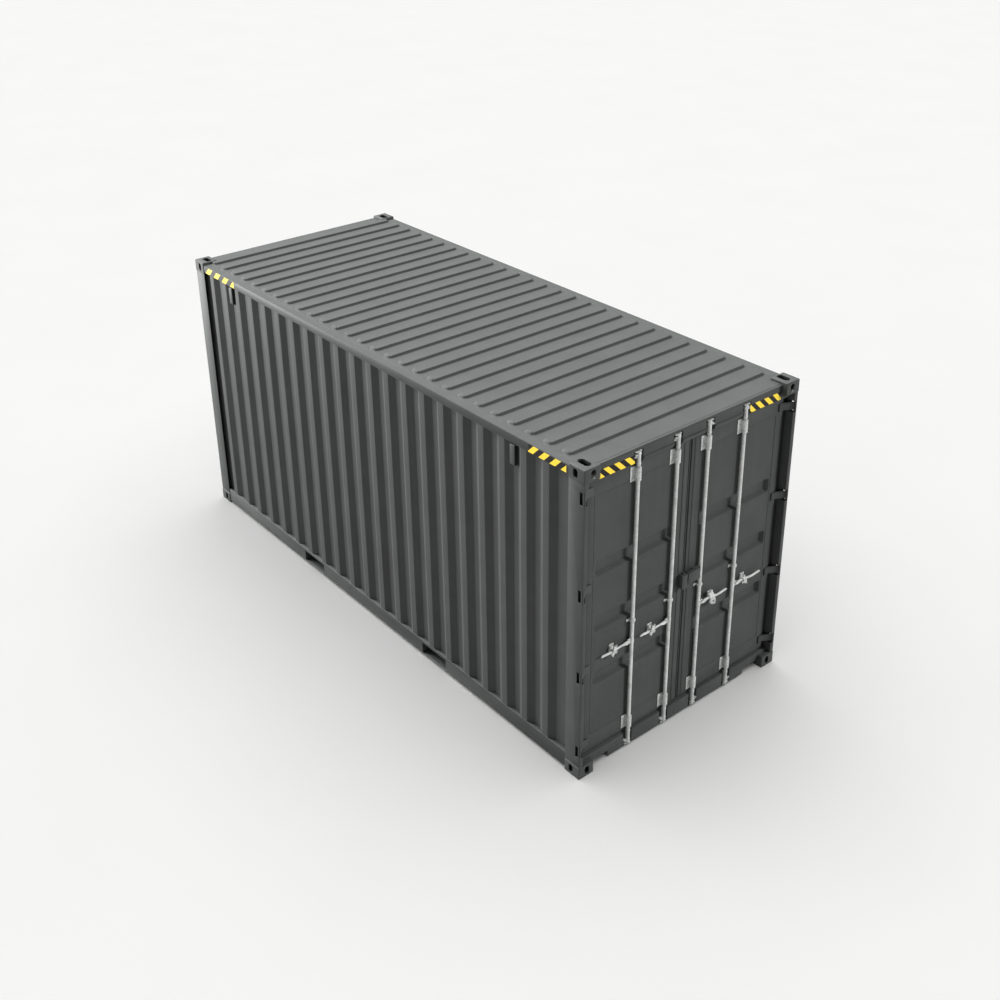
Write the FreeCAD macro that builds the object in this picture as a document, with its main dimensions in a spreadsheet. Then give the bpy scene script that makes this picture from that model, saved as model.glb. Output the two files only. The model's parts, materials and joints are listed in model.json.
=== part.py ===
"""Twenty-foot high-cube dry freight container with a pair of rear doors.

The row frame: X runs along the container with the doors at +X, Y across it, Z up from the
ground. "rear" is the door end, "front" the blind end, "left" and "right" are as seen by
someone who faces the doors from outside, so right is +Y. All sizes are in millimetres.
"""
import FreeCAD, Part

import os
import re

from FreeCAD import Vector

doc = FreeCAD.newDocument("container")
sheet = doc.addObject("Spreadsheet::Sheet", "Sizes")

SIZES = {
    # the whole container
    "overall_length": 6058,
    "overall_width": 2438,
    "overall_height": 2896,
    # corner castings and their apertures
    "casting_length": 178,
    "casting_width": 162,
    "casting_height": 118,
    "casting_wall": 15,
    "casting_plate": 28,
    "slot_length": 124.5,
    "slot_width": 63.5,
    "slot_from_end": 102.5,
    "slot_from_side": 89.5,
    "hole_tall": 79,
    "hole_wide": 51,
    # plates, sheets and tubes
    "frame_set": 4,
    "rail_set": 6,
    "post_plate": 6,
    "rail_plate": 4.5,
    "end_plate": 4,
    "sheet_skin": 2,
    "tube_wall": 3,
    # posts
    "rear_post_width": 41,
    "front_post_length": 168,
    "front_post_face": 110,
    "front_post_depth": 36,
    # side rails and floor
    "rail_bottom": 30,
    "rail_tall": 148,
    "rail_top_flange": 48,
    "rail_bottom_flange": 30,
    "top_rail_wide": 60,
    "top_rail_tall": 72,
    "floor_thick": 28,
    "member_flange": 45,
    "member_plate": 4,
    "member_spacing": 290,
    "pocket_spacing": 2080,
    "pocket_wide": 360,
    "pocket_skin": 3,
    "pocket_strap": 250,
    # corrugated walls
    "wall_set": 8,
    "wall_depth": 36,
    "crest_wide": 70,
    "slope_run": 66,
    "wall_pitch": 264.5,
    "wall_lead": 156,
    "front_wall_depth": 45,
    "front_wall_pitch": 250,
    # roof
    "roof_drop": 26,
    "rib_tall": 20,
    "rib_top_wide": 91,
    "rib_slope_run": 14,
    "rib_pitch": 212.7,
    "rib_from_doors": 275,
    "rib_from_side": 96,
    "rib_end_run": 40,
    # door opening, header and sill
    "opening_drop": 161,
    "door_setback": 75,
    "header_setback": 48,
    "header_deep": 64,
    "sill_setback": 51,
    "sill_deep": 100,
    "sill_bottom": 14,
    "sill_notch_wide": 210,
    "sill_notch_top": 67,
    "sill_ledge": 150,
    "pocket_near": 44,
    "pocket_play": 3,
    "pocket_back": 80,
    "header_strip": 25,
    "gutter_rise": 28,
    "gutter_tall": 18,
    "gutter_deep": 9,
    # door leaves
    "leaf_side_gap": 49,
    "leaf_centre_gap": 6,
    "leaf_bottom": 168,
    "leaf_top_gap": 15,
    "leaf_thick": 50,
    "leaf_clearance": 7,
    "edge_member": 85,
    "centre_member": 130,
    "top_member": 137,
    "bottom_member": 162,
    "panel_inset": 1,
    "groove_tall": 146,
    "groove_deep": 36,
    "groove_slope": 34,
    "groove_low": 880,
    "groove_spacing": 521,
    "seal_clearance": 5,
    "seal_centre": 3,
    "seal_thick": 30,
    "seal_behind": 10,
    # hinges
    "pin_setback": 13,
    "pin_radius": 7,
    "pin_clearance": 0.1,
    "barrel_radius": 11.5,
    "hinge_notch_tall": 106,
    "hinge_notch_deep": 54,
    "lug_tall": 14,
    "barrel_gap": 1.5,
    "blade_play": 3,
    "blade_thick": 12,
    "blade_reach": 60,
    "hinge_first": 273,
    "hinge_second": 1015,
    "hinge_third": 1785,
    "hinge_from_top": 75,
    # lock rods, cams and handles
    "rod_radius": 17,
    "rod_clearance": 0.1,
    "rod_standoff": 6,
    "rod_inner": 178,
    "rod_outer": 612,
    "rod_bottom": 28,
    "rod_from_roof": 32,
    "tooth_reach": 42,
    "tooth_thick": 8,
    "tooth_wide": 16,
    "tooth_spacing": 28,
    "keeper_gap": 8,
    "keeper_plate": 6,
    "keeper_wide": 30,
    "keeper_front": 44,
    "strap_thick": 3,
    "bearing_tall": 120,
    "guide_tall": 24,
    "bearing_low": 262,
    "bearing_from_top": 83,
    "guide_level": 1290,
    "bearing_plate_wide": 45,
    "bearing_plate_tall": 130,
    "bearing_plate_thick": 5,
    "hub_tall": 44,
    "hub_thick": 2,
    "handle_level": 1092,
    "rivet_from_rod": 38,
    "rivet_radius": 6,
    "rivet_clearance": 0.1,
    "handle_reach": 350,
    "handle_tall": 20,
    "handle_thick": 9,
    "handle_front": 36,
    "ear_thick": 8,
    "ear_gap": 2,
    "catch_wide": 50,
    "catch_plate": 4,
    "catch_clearance": 5,
    "catch_ledge": 6,
    "catch_left_outer": 212,
    "catch_right_inner": 160,
    "catch_right_outer": 145,
    # lock box
    "lock_box_level": 1417,
    "lock_box_tall": 146,
    "lock_box_left": 60,
    "lock_box_right": 88,
    "lock_box_front": 24,
    "lock_box_gap": 6,
    "lock_box_wall": 5,
    # ventilator covers
    "vent_wide": 115,
    "vent_tall": 205,
    "vent_deep": 21,
    "vent_proud": 3,
    "vent_below_rail": 5,
}

for row, (alias, number) in enumerate(SIZES.items(), start=1):
    sheet.set(f"A{row}", alias)
    sheet.set(f"B{row}", str(number))
    sheet.setAlias(f"B{row}", alias)
doc.recompute()

CREST_COUNT = 21
RIB_COUNT = 26
GROOVE_COUNT = 3
ENDS = (("rear", 1), ("front", -1))
SIDES = (("left", -1), ("right", 1))

# Formulas that several pieces share.
END = "(overall_length / 2)"
SIDE = "(overall_width / 2)"
INNER_END = f"({END} - casting_length)"
INNER_SIDE = f"({SIDE} - casting_width)"
CASTING_TOP = "casting_height"
UPPER_CASTING = "(overall_height - casting_height)"
RAIL_TOP = "(rail_bottom + rail_tall)"
ROOF_BASE = "(overall_height - roof_drop - sheet_skin)"
TOP_RAIL_BOTTOM = f"({ROOF_BASE} - top_rail_tall)"
JAMB = f"({SIDE} - frame_set - rear_post_width)"
DOOR_FACE = f"({END} - door_setback)"
OPENING_TOP = "(overall_height - opening_drop)"
LEAF_EDGE = f"({JAMB} - leaf_side_gap)"
LEAF_TOP = f"({OPENING_TOP} - leaf_top_gap)"
ROD_TOP = f"({ROOF_BASE} - rod_from_roof)"
BEARING_LEVELS = ("bearing_low", f"({LEAF_TOP} - bearing_from_top)")
POCKET_FAR = "(rod_radius + keeper_plate + keeper_wide + pocket_play)"
ROD_AXIS = f"({DOOR_FACE} + rod_radius + rod_standoff)"
PIN_X = f"({END} - pin_setback)"
PIN_Y = f"({SIDE} - pin_setback)"


def formula(text):
    """The text as an expression, with the sheet's name before each of its aliases."""
    return re.sub(r"[a-z_]+", lambda word: "Sizes." + word[0] if word[0] in SIZES else word[0], text)


def size(text):
    """The number that a formula gives."""
    numbers = {alias: float(sheet.get(alias)) for alias in set(re.findall(r"[a-z_]+", text))}
    product = re.sub(r"[a-z_]+", lambda word: repr(numbers[word[0]]), text)
    return FreeCAD.Units.Quantity(product).Value


def bind(item, **texts):
    for prop, text in texts.items():
        item.setExpression(prop.replace("__", "."), formula(text))
    return item


def block(name, x, y, z):
    """A box between two formulas along each axis."""
    item = doc.addObject("Part::Box", name)
    for prop, (low, high) in zip(("Length", "Width", "Height"), (x, y, z)):
        item.setExpression(prop, formula(f"({high}) - ({low})"))
    for axis, (low, high) in zip("xyz", (x, y, z)):
        item.setExpression(f"Placement.Base.{axis}", formula(low))
    return item


def post(name, radius, x, y, z):
    """An upright cylinder."""
    item = doc.addObject("Part::Cylinder", name)
    low, high = z
    bind(item, Radius=radius, Height=f"({high}) - ({low})")
    return bind(item, Placement__Base__x=x, Placement__Base__y=y, Placement__Base__z=low)


def across(name, radius, x, y, z):
    """A cylinder that lies along X, between the two formulas of x."""
    item = doc.addObject("Part::Cylinder", name)
    item.Placement.Rotation = FreeCAD.Rotation(Vector(0, 1, 0), 90)
    low, high = x
    bind(item, Radius=radius, Height=f"({high}) - ({low})")
    return bind(item, Placement__Base__x=low, Placement__Base__y=y, Placement__Base__z=z)


def beside(side, low, high):
    """The span between two distances from the middle plane, on the side that is asked for."""
    return (low, high) if side > 0 else (f"-({high})", f"-({low})")


def fuse(name, items):
    item = doc.addObject("Part::MultiFuse", name)
    item.Shapes = items
    item.Refine = True
    return item


def cut(name, base, tools):
    item = doc.addObject("Part::Cut", name)
    item.Base = base
    item.Tool = tools[0] if len(tools) == 1 else fuse(name + "_tools", tools)
    item.Refine = True
    return item


def together(name, items):
    """Solids that don't touch, kept in one sub-part."""
    item = doc.addObject("Part::Compound", name)
    item.Links = items
    return item


def mirror(name, source, normal, height="0"):
    item = doc.addObject("Part::Mirroring", name)
    item.Source = source
    item.Normal = Vector(*normal)
    return bind(item, Base__z=height)


def feature(name, shape):
    item = doc.addObject("Part::Feature", name)
    item.Shape = shape
    return item


parts = []


def keep(item, label):
    item.Label = label
    parts.append(item)
    return item


# Corner castings: hollow blocks with a slot in the outer plate and a hole in side and end.


def casting_slot(name):
    middle_x = f"{END} - slot_from_end"
    middle_y = f"{SIDE} - slot_from_side"
    half = "(slot_length - slot_width) / 2"
    depth = ("-1", "casting_plate + 1")
    return [
        block(
            name + "_middle",
            (f"{middle_x} - {half}", f"{middle_x} + {half}"),
            (f"{middle_y} - slot_width / 2", f"{middle_y} + slot_width / 2"),
            depth,
        ),
        post(name + "_outer", "slot_width / 2", f"{middle_x} + {half}", middle_y, depth),
        post(name + "_inner", "slot_width / 2", f"{middle_x} - {half}", middle_y, depth),
    ]


def casting_hole(name, rotation, wall, middle):
    """An upright oval hole. The wall's own axis is X or Y; middle is the place along it."""
    level = "casting_height / 2"
    half = "(hole_tall - hole_wide) / 2"
    low, high = wall
    tools = []
    for place, offset in (("low", f"-{half}"), ("high", half)):
        item = doc.addObject("Part::Cylinder", f"{name}_{place}")
        item.Placement.Rotation = rotation
        bind(item, Radius="hole_wide / 2", Height=f"({high}) - ({low})")
        if middle[0] == "y":
            bind(item, Placement__Base__x=low, Placement__Base__y=middle[1])
        else:
            bind(item, Placement__Base__x=middle[1], Placement__Base__y=high)
        bind(item, Placement__Base__z=f"{level} + {offset}")
        tools.append(item)
    span = (f"{middle[1]} - hole_wide / 2", f"{middle[1]} + hole_wide / 2")
    tall = (f"{level} - {half}", f"{level} + {half}")
    if middle[0] == "y":
        tools.append(block(name + "_middle", wall, span, tall))
    else:
        tools.append(block(name + "_middle", span, wall, tall))
    return tools


def corner_castings():
    body = block(
        "casting_block",
        (INNER_END, END),
        (INNER_SIDE, SIDE),
        ("0", "casting_height"),
    )
    cavity = block(
        "casting_cavity",
        (f"{INNER_END} + casting_wall", f"{END} - casting_wall"),
        (f"{INNER_SIDE} + casting_wall", f"{SIDE} - casting_wall"),
        ("casting_plate", "casting_height - casting_wall"),
    )
    along_x = FreeCAD.Rotation(Vector(0, 1, 0), 90)
    along_y = FreeCAD.Rotation(Vector(1, 0, 0), 90)
    end_wall = (f"{END} - casting_wall - 1", f"{END} + 1")
    side_wall = (f"{SIDE} - casting_wall - 1", f"{SIDE} + 1")
    tools = [cavity] + casting_slot("casting_slot")
    tools += casting_hole("casting_end_hole", along_x, end_wall, ("y", f"{SIDE} - slot_from_side"))
    tools += casting_hole("casting_side_hole", along_y, side_wall, ("x", f"{END} - slot_from_end"))
    master = cut("casting_rear_right_bottom", body, tools)
    copies = {("right", 1): master}
    copies["left", 1] = mirror("casting_rear_left_bottom", master, (0, 1, 0))
    for side, _ in SIDES:
        source = copies[side, 1]
        copies[side, -1] = mirror(f"casting_front_{side}_bottom", source, (1, 0, 0))
    for end, way in ENDS:
        for side, _ in SIDES:
            low = copies[side, way]
            high = mirror(f"casting_{end}_{side}_top", low, (0, 0, 1), "overall_height / 2")
            keep(low, f"corner_casting_{end}_{side}_bottom")
            keep(high, f"corner_casting_{end}_{side}_top")


# Posts.


HINGE_LEVELS = ("hinge_first", "hinge_second", "hinge_third", f"({LEAF_TOP} - hinge_from_top)")


def rear_post():
    """A box section that is notched for each hinge."""
    x = (INNER_END, f"{END} - frame_set")
    y = (JAMB, f"{SIDE} - frame_set")
    z = (CASTING_TOP, UPPER_CASTING)
    bore_x = (f"{INNER_END} + post_plate", f"{END} - frame_set - post_plate")
    bore_y = (f"{JAMB} + post_plate", f"{SIDE} - frame_set - post_plate")
    tools = [block("rear_post_bore", bore_x, bore_y, ("casting_height - 1", f"{UPPER_CASTING} + 1"))]
    for count, level in enumerate(HINGE_LEVELS):
        notch_x = (f"{END} - hinge_notch_deep", f"{END} + 1")
        notch_y = (f"{JAMB} - 1", f"{SIDE} + 1")
        notch_z = (f"{level} - hinge_notch_tall / 2", f"{level} + hinge_notch_tall / 2")
        tools.append(block(f"hinge_notch_{count}", notch_x, notch_y, notch_z))
    right = cut("rear_post_right", block("rear_post_block", x, y, z), tools)
    keep(right, "rear_post_right")
    keep(mirror("rear_post_left", right, (0, 1, 0)), "rear_post_left")


def front_post():
    """A pressed section: its mouth is open towards the side wall."""
    tall = (CASTING_TOP, UPPER_CASTING)
    outer = f"{SIDE} - frame_set"
    end = f"-{END} + frame_set"
    inner = f"{outer} - post_plate - front_post_depth"
    skin = (f"{outer} - post_plate", outer)
    plates = [
        block("front_post_side", (end, f"{end} + front_post_length"), skin, tall),
        block("front_post_end", (end, f"{end} + post_plate"), (f"{outer} - front_post_face", outer), tall),
        block("front_post_web", (end, f"-{INNER_END}"), (f"{inner} - post_plate", inner), tall),
    ]
    right = fuse("front_post_right", plates)
    keep(right, "front_post_right")
    keep(mirror("front_post_left", right, (0, 1, 0)), "front_post_left")


# Side rails.


def top_side_rail():
    x = (f"-{INNER_END}", INNER_END)
    outer = f"{SIDE} - rail_set"
    tube = block("top_rail_block", x, (f"{outer} - top_rail_wide", outer), (TOP_RAIL_BOTTOM, ROOF_BASE))
    bore = block(
        "top_rail_bore",
        (f"-{INNER_END} - 1", f"{INNER_END} + 1"),
        (f"{outer} - top_rail_wide + tube_wall", f"{outer} - tube_wall"),
        (f"{TOP_RAIL_BOTTOM} + tube_wall", f"{ROOF_BASE} - tube_wall"),
    )
    right = cut("top_side_rail_right", tube, [bore])
    keep(right, "top_side_rail_right")
    keep(mirror("top_side_rail_left", right, (0, 1, 0)), "top_side_rail_left")


POCKET_FLOOR = "(rail_bottom + rail_plate)"
POCKET_TOP = f"({RAIL_TOP} - floor_thick - pocket_skin)"
POCKET_MIDDLES = ("pocket_spacing / 2", "-pocket_spacing / 2")


def bottom_side_rail():
    x = (f"-{INNER_END}", INNER_END)
    outer = f"{SIDE} - rail_set"
    web = block("rail_web", x, (f"{outer} - rail_plate", outer), ("rail_bottom", RAIL_TOP))
    top = block("rail_top", x, (f"{outer} - rail_top_flange", outer), (f"{RAIL_TOP} - rail_plate", RAIL_TOP))
    low = block("rail_low", x, (f"{outer} - rail_bottom_flange", outer), ("rail_bottom", POCKET_FLOOR))
    windows = []
    for count, middle in enumerate(POCKET_MIDDLES):
        window_x = (f"{middle} - pocket_wide / 2", f"{middle} + pocket_wide / 2")
        window_y = (f"{outer} - rail_plate - 1", f"{outer} + 1")
        windows.append(block(f"rail_window_{count}", window_x, window_y, (POCKET_FLOOR, POCKET_TOP)))
    right = cut("bottom_side_rail_right", fuse("rail_section", [web, top, low]), windows)
    keep(right, "bottom_side_rail_right")
    keep(mirror("bottom_side_rail_left", right, (0, 1, 0)), "bottom_side_rail_left")


# End frames: door header, sill and the two rails of the blind end.


def rods_of(side):
    return (("inner", f"{side} * rod_inner"), ("outer", f"{side} * rod_outer"))


def rod_pockets(name, face, low, high, open_low, open_high):
    """The recesses that the rods' cams turn in: linings first, then the spaces inside them."""
    back = f"{END} - pocket_back"
    wall = "end_plate"
    linings = []
    spaces = []
    for side_name, side in SIDES:
        for place, middle in (("inner", "rod_inner"), ("outer", "rod_outer")):
            label = f"{name}_{side_name}_{place}"
            lining = beside(side, f"{middle} - pocket_near - {wall}", f"{middle} + {POCKET_FAR} + {wall}")
            space = beside(side, f"{middle} - pocket_near", f"{middle} + {POCKET_FAR}")
            wall_deep = (f"{back} - {wall}", f"{back} + {wall}")
            linings.append(block(label + "_lining", wall_deep, lining, (low, high)))
            for edge, (start, stop) in (("a", (lining[0], space[0])), ("b", (space[1], lining[1]))):
                linings.append(block(f"{label}_cheek_{edge}", (back, face), (start, stop), (low, high)))
            spaces.append(block(label + "_space", (back, f"{END} + 1"), space, (open_low, open_high)))
    return linings, spaces


def door_header():
    """A box beam over the doors, with a recess for the top of each lock rod."""
    face = f"{END} - header_setback"
    back = f"{DOOR_FACE} - header_deep"
    wide = (f"-{INNER_SIDE}", INNER_SIDE)
    beam = block("header_beam", (back, face), wide, (OPENING_TOP, ROOF_BASE))
    bore = block(
        "header_bore",
        (f"{back} + end_plate", f"{face} - end_plate"),
        (f"-{INNER_SIDE} - 1", f"{INNER_SIDE} + 1"),
        (f"{OPENING_TOP} + end_plate", f"{ROOF_BASE} - end_plate"),
    )
    recess_top = f"{ROOF_BASE} - header_strip"
    lining_top = f"{recess_top} + end_plate"
    recess_low = f"{OPENING_TOP} - 1"
    linings, spaces = rod_pockets("header", face, OPENING_TOP, lining_top, recess_low, recess_top)
    for side_name, side in SIDES:
        for place, middle in (("inner", "rod_inner"), ("outer", "rod_outer")):
            wide_roof = beside(side, f"{middle} - pocket_near", f"{middle} + {POCKET_FAR}")
            deep_roof = (f"{END} - pocket_back", face)
            name = f"header_{side_name}_{place}_roof"
            linings.append(block(name, deep_roof, wide_roof, (recess_top, lining_top)))
    pieces = [cut("header_tube", beam, [bore])] + linings
    for side_name, side in SIDES:
        span = beside(side, INNER_SIDE, JAMB)
        pieces.append(block(f"header_end_{side_name}", (back, face), span, (OPENING_TOP, UPPER_CASTING)))
    gutter_half = "(rod_outer - pocket_near - end_plate)"
    gutter_low = f"{OPENING_TOP} + gutter_rise - gutter_tall / 2"
    gutter = block(
        "header_gutter",
        (face, f"{face} + gutter_deep"),
        (f"-{gutter_half}", gutter_half),
        (gutter_low, f"{gutter_low} + gutter_tall"),
    )
    keep(cut("door_header", fuse("header_solid", pieces + [gutter]), spaces), "door_header")


def door_sill():
    """A box beam under the doors: a ledge in front, an upstand behind the leaves, cut away
    beside each bottom casting, with a recess for the foot of each lock rod."""
    face = f"{END} - sill_setback"
    back = f"{DOOR_FACE} - sill_deep"
    upstand = f"{DOOR_FACE} - leaf_thick - leaf_clearance"
    wide = (f"-{INNER_SIDE}", INNER_SIDE)
    bore_wide = (f"-{INNER_SIDE} - 1", f"{INNER_SIDE} + 1")
    beam = block("sill_beam", (back, face), wide, ("sill_bottom", "sill_ledge"))
    rise = block("sill_upstand", (back, upstand), (f"-{JAMB}", JAMB), ("sill_ledge", RAIL_TOP))
    bores = [
        block(
            "sill_bore",
            (f"{back} + end_plate", f"{face} - end_plate"),
            bore_wide,
            ("sill_bottom + end_plate", "sill_ledge - end_plate"),
        ),
        block(
            "sill_upstand_bore",
            (f"{back} + end_plate", f"{upstand} - end_plate"),
            bore_wide,
            ("sill_ledge - end_plate - 1", f"{RAIL_TOP} - end_plate"),
        ),
    ]
    foot_low = "sill_bottom + end_plate"
    linings, spaces = rod_pockets("sill", face, "sill_bottom", "sill_ledge", foot_low, "sill_ledge + 1")
    pieces = [cut("sill_tube", fuse("sill_block", [beam, rise]), bores)] + linings
    for side_name, side in SIDES:
        shelf = beside(side, INNER_SIDE, JAMB)
        pieces.append(block(f"sill_shelf_{side_name}", (back, face), shelf, (CASTING_TOP, "sill_ledge")))
        roof_span = beside(side, f"{INNER_SIDE} - sill_notch_wide - end_plate", INNER_SIDE)
        roof_z = ("sill_notch_top", "sill_notch_top + end_plate")
        pieces.append(block(f"sill_roof_{side_name}", (back, face), roof_span, roof_z))
        cheek_span = beside(
            side,
            f"{INNER_SIDE} - sill_notch_wide - end_plate",
            f"{INNER_SIDE} - sill_notch_wide",
        )
        cheek_z = ("sill_bottom", "sill_notch_top")
        pieces.append(block(f"sill_cheek_{side_name}", (back, face), cheek_span, cheek_z))
        notch = beside(side, f"{INNER_SIDE} - sill_notch_wide", INNER_SIDE)
        spaces.append(block(f"sill_notch_{side_name}", (f"{back} - 1", END), notch, ("0", "sill_notch_top")))
    keep(cut("door_sill", fuse("sill_solid", pieces), spaces), "door_sill")


def front_rails():
    outer = f"-{END} + rail_set"
    wide = (f"-{INNER_SIDE}", INNER_SIDE)
    reach = (f"-{INNER_SIDE} - 1", f"{INNER_SIDE} + 1")
    tube = block("front_top_block", (outer, f"{outer} + top_rail_wide"), wide, (UPPER_CASTING, ROOF_BASE))
    bore = block(
        "front_top_bore",
        (f"{outer} + tube_wall", f"{outer} + top_rail_wide - tube_wall"),
        reach,
        (f"{UPPER_CASTING} + tube_wall", f"{ROOF_BASE} - tube_wall"),
    )
    keep(cut("front_top_rail", tube, [bore]), "front_top_rail")
    low = ("rail_bottom", CASTING_TOP)
    web = block("front_low_web", (outer, f"{outer} + rail_plate"), wide, low)
    top = block(
        "front_low_top",
        (outer, f"{outer} + top_rail_wide"),
        wide,
        ("casting_height - rail_plate", CASTING_TOP),
    )
    tread = (outer, f"{outer} + rail_bottom_flange")
    bottom = block("front_low_bottom", tread, wide, ("rail_bottom", POCKET_FLOOR))
    keep(fuse("front_bottom_rail", [web, top, bottom]), "front_bottom_rail")


# Corrugated walls: a bent sheet, drawn once as its outer line and once set in by the skin.


def corrugated(lead, tail, pitch, crest, slope, depth, count, skin):
    """The points of a corrugated sheet's section: distance along, then depth below the crests."""
    outline = [(0.0, depth), (lead - crest / 2 - slope, depth)]
    valley = pitch - crest - 2 * slope
    place = outline[-1][0]
    for number in range(count):
        outline.append((place + slope, 0.0))
        outline.append((place + slope + crest, 0.0))
        place += 2 * slope + crest
        outline.append((place, depth))
        if number < count - 1:
            place += valley
            outline.append((place, depth))
    end = place + tail - crest / 2 - slope
    outline.append((place + valley, depth))
    outline.append((place + valley + slope, 0.0))
    outline.append((end, 0.0))
    return outline + [(along, below + skin) for along, below in reversed(outline)]


def side_wall():
    """Twenty-one crests between the posts, and half of one more beside the door post."""
    start = -size(INNER_END)
    lead = size("wall_lead")
    pitch = size("wall_pitch")
    tail = 2 * size(INNER_END) - lead - (CREST_COUNT - 1) * pitch
    section = corrugated(
        lead,
        tail,
        pitch,
        size("crest_wide"),
        size("slope_run"),
        size("wall_depth"),
        CREST_COUNT,
        size("sheet_skin"),
    )
    outer = size(f"{SIDE} - wall_set")
    low = size(RAIL_TOP)
    points = [Vector(start + along, outer - below, low) for along, below in section]
    face = Part.Face(Part.makePolygon(points + points[:1]))
    right = feature("side_wall_right", face.extrude(Vector(0, 0, size(TOP_RAIL_BOTTOM) - low)))
    keep(right, "side_wall_right")
    keep(mirror("side_wall_left", right, (0, 1, 0)), "side_wall_left")


def front_wall():
    """The blind end: crests as on the sides, with a flat at each post."""
    half = size(f"{SIDE} - frame_set - front_post_face")
    pitch = size("front_wall_pitch")
    crest = size("crest_wide")
    slope = size("slope_run")
    valley = pitch - crest - 2 * slope
    count = int(2 * half // pitch)
    edge = half - (count * pitch - crest) / 2
    outline = [(-half, 0.0)]
    place = -half + edge
    for number in range(count):
        if number:
            outline.append((place, 0.0))
        place += crest if number else 0.0
        outline.append((place, 0.0))
        outline.append((place + slope, size("front_wall_depth")))
        outline.append((place + slope + valley, size("front_wall_depth")))
        place += 2 * slope + valley
    outline.append((place, 0.0))
    outline.append((half, 0.0))
    skin = size("sheet_skin")
    section = outline + [(along, below + skin) for along, below in reversed(outline)]
    outer = -size(END) + size("wall_set")
    low = size(CASTING_TOP)
    points = [Vector(outer + below, along, low) for along, below in section]
    face = Part.Face(Part.makePolygon(points + points[:1]))
    keep(feature("front_wall", face.extrude(Vector(0, 0, size(UPPER_CASTING) - low))), "front_wall")


# Roof: a flat sheet with pressed ribs whose ends are closed.


def frustum(middle_x, base_z, half_x, half_y, tall, run_x, run_y):
    """A rib's solid: sloped on all four sides."""
    low = [(-half_x, -half_y), (half_x, -half_y), (half_x, half_y), (-half_x, half_y)]
    wires = []
    for height, shrink in ((0.0, 0.0), (tall, 1.0)):
        corners = []
        for x, y in low:
            inner_x = x - shrink * run_x * (1 if x > 0 else -1)
            inner_y = y - shrink * run_y * (1 if y > 0 else -1)
            corners.append(Vector(middle_x + inner_x, inner_y, base_z + height))
        wires.append(Part.makePolygon(corners + corners[:1]))
    return Part.makeLoft(wires, True, True)


def roof_panel():
    skin = size("sheet_skin")
    base = size(ROOF_BASE)
    half_x = size(f"{END} - rail_set")
    door_x = size(DOOR_FACE)
    inner_x = size(INNER_END)
    half_y = size(f"{SIDE} - rail_set - tube_wall")
    inner_y = size(INNER_SIDE)
    long_strip = Part.makeBox(half_x + door_x, 2 * inner_y, skin, Vector(-half_x, -inner_y, base))
    wide_strip = Part.makeBox(2 * inner_x, 2 * half_y, skin, Vector(-inner_x, -half_y, base))
    tall = size("rib_tall")
    top_wide = size("rib_top_wide")
    run = size("rib_slope_run")
    end_run = size("rib_end_run")
    reach = size(f"{SIDE} - rib_from_side")
    outer_ribs = []
    inner_ribs = []
    for number in range(RIB_COUNT):
        foot = size(END) - size("rib_from_doors") - number * size("rib_pitch")
        middle = foot - run - top_wide / 2
        half = top_wide / 2 + run
        outer_ribs.append(frustum(middle, base + skin, half, reach, tall, run, end_run))
        inner_ribs.append(frustum(middle, base, half, reach, tall, run, end_run))
    sheet_body = long_strip.fuse([wide_strip] + outer_ribs).removeSplitter()
    keep(feature("roof_panel", sheet_body.cut(Part.makeCompound(inner_ribs))), "roof_panel")


# Floor, crossmembers and fork pockets.


def floor():
    front = f"-{END} + rail_set + top_rail_wide"
    rear = f"{DOOR_FACE} - sill_deep"
    half = f"({SIDE} - rail_set - rail_top_flange)"
    item = block("floor", (front, rear), (f"-{half}", half), (f"{RAIL_TOP} - floor_thick", RAIL_TOP))
    keep(item, "floor")


def crossmember(name, x):
    half = f"({SIDE} - rail_set - rail_plate)"
    wide = (f"-{half}", half)
    top = f"{RAIL_TOP} - floor_thick"
    low = POCKET_FLOOR
    web = block(name + "_web", (x, f"{x} + member_plate"), wide, (low, top))
    head = block(name + "_head", (x, f"{x} + member_flange"), wide, (f"{top} - member_plate", top))
    foot = block(name + "_foot", (x, f"{x} + member_flange"), wide, (low, f"{low} + member_plate"))
    return fuse(name, [web, head, foot])


def crossmembers():
    """Channels across the container, evenly set in the bays that the fork pockets leave."""
    pocket = size("pocket_spacing") / 2
    half = size("pocket_wide") / 2
    bays = (
        (-size(INNER_END), -pocket - half),
        (-pocket + half, pocket - half),
        (pocket + half, size(INNER_END)),
    )
    members = []
    for low, high in bays:
        gaps = max(2, round((high - low) / size("member_spacing")))
        for number in range(1, gaps):
            place = low + (high - low) * number / gaps
            members.append(crossmember(f"crossmember_{len(members)}", repr(round(place, 3))))
    keep(together("crossmembers", members), "crossmembers")


def fork_pockets():
    """A tunnel from rail to rail: two sides, a top plate and a strap under each mouth."""
    half = f"({SIDE} - rail_set - rail_plate)"
    wide = (f"-{half}", half)
    strap_in = f"({half} - pocket_strap)"
    for name, middle in zip(("rear", "front"), POCKET_MIDDLES):
        low = f"{middle} - pocket_wide / 2"
        high = f"{middle} + pocket_wide / 2"
        tall = (POCKET_FLOOR, POCKET_TOP)
        outer = (f"{low} - member_plate", f"{high} + member_plate")
        plates = [
            block(f"pocket_{name}_low", (f"{low} - member_plate", low), wide, tall),
            block(f"pocket_{name}_high", (high, f"{high} + member_plate"), wide, tall),
            block(f"pocket_{name}_top", outer, wide, (POCKET_TOP, f"{POCKET_TOP} + pocket_skin")),
        ]
        flange_in = f"({SIDE} - rail_set - rail_bottom_flange)"
        for side_name, side in SIDES:
            span = beside(side, strap_in, flange_in)
            tread = (f"{POCKET_FLOOR} - member_plate", POCKET_FLOOR)
            plates.append(block(f"pocket_{name}_strap_{side_name}", outer, span, tread))
        keep(fuse(f"fork_pocket_{name}", plates), f"fork_pocket_{name}")


# Fittings that the frame carries.


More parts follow.
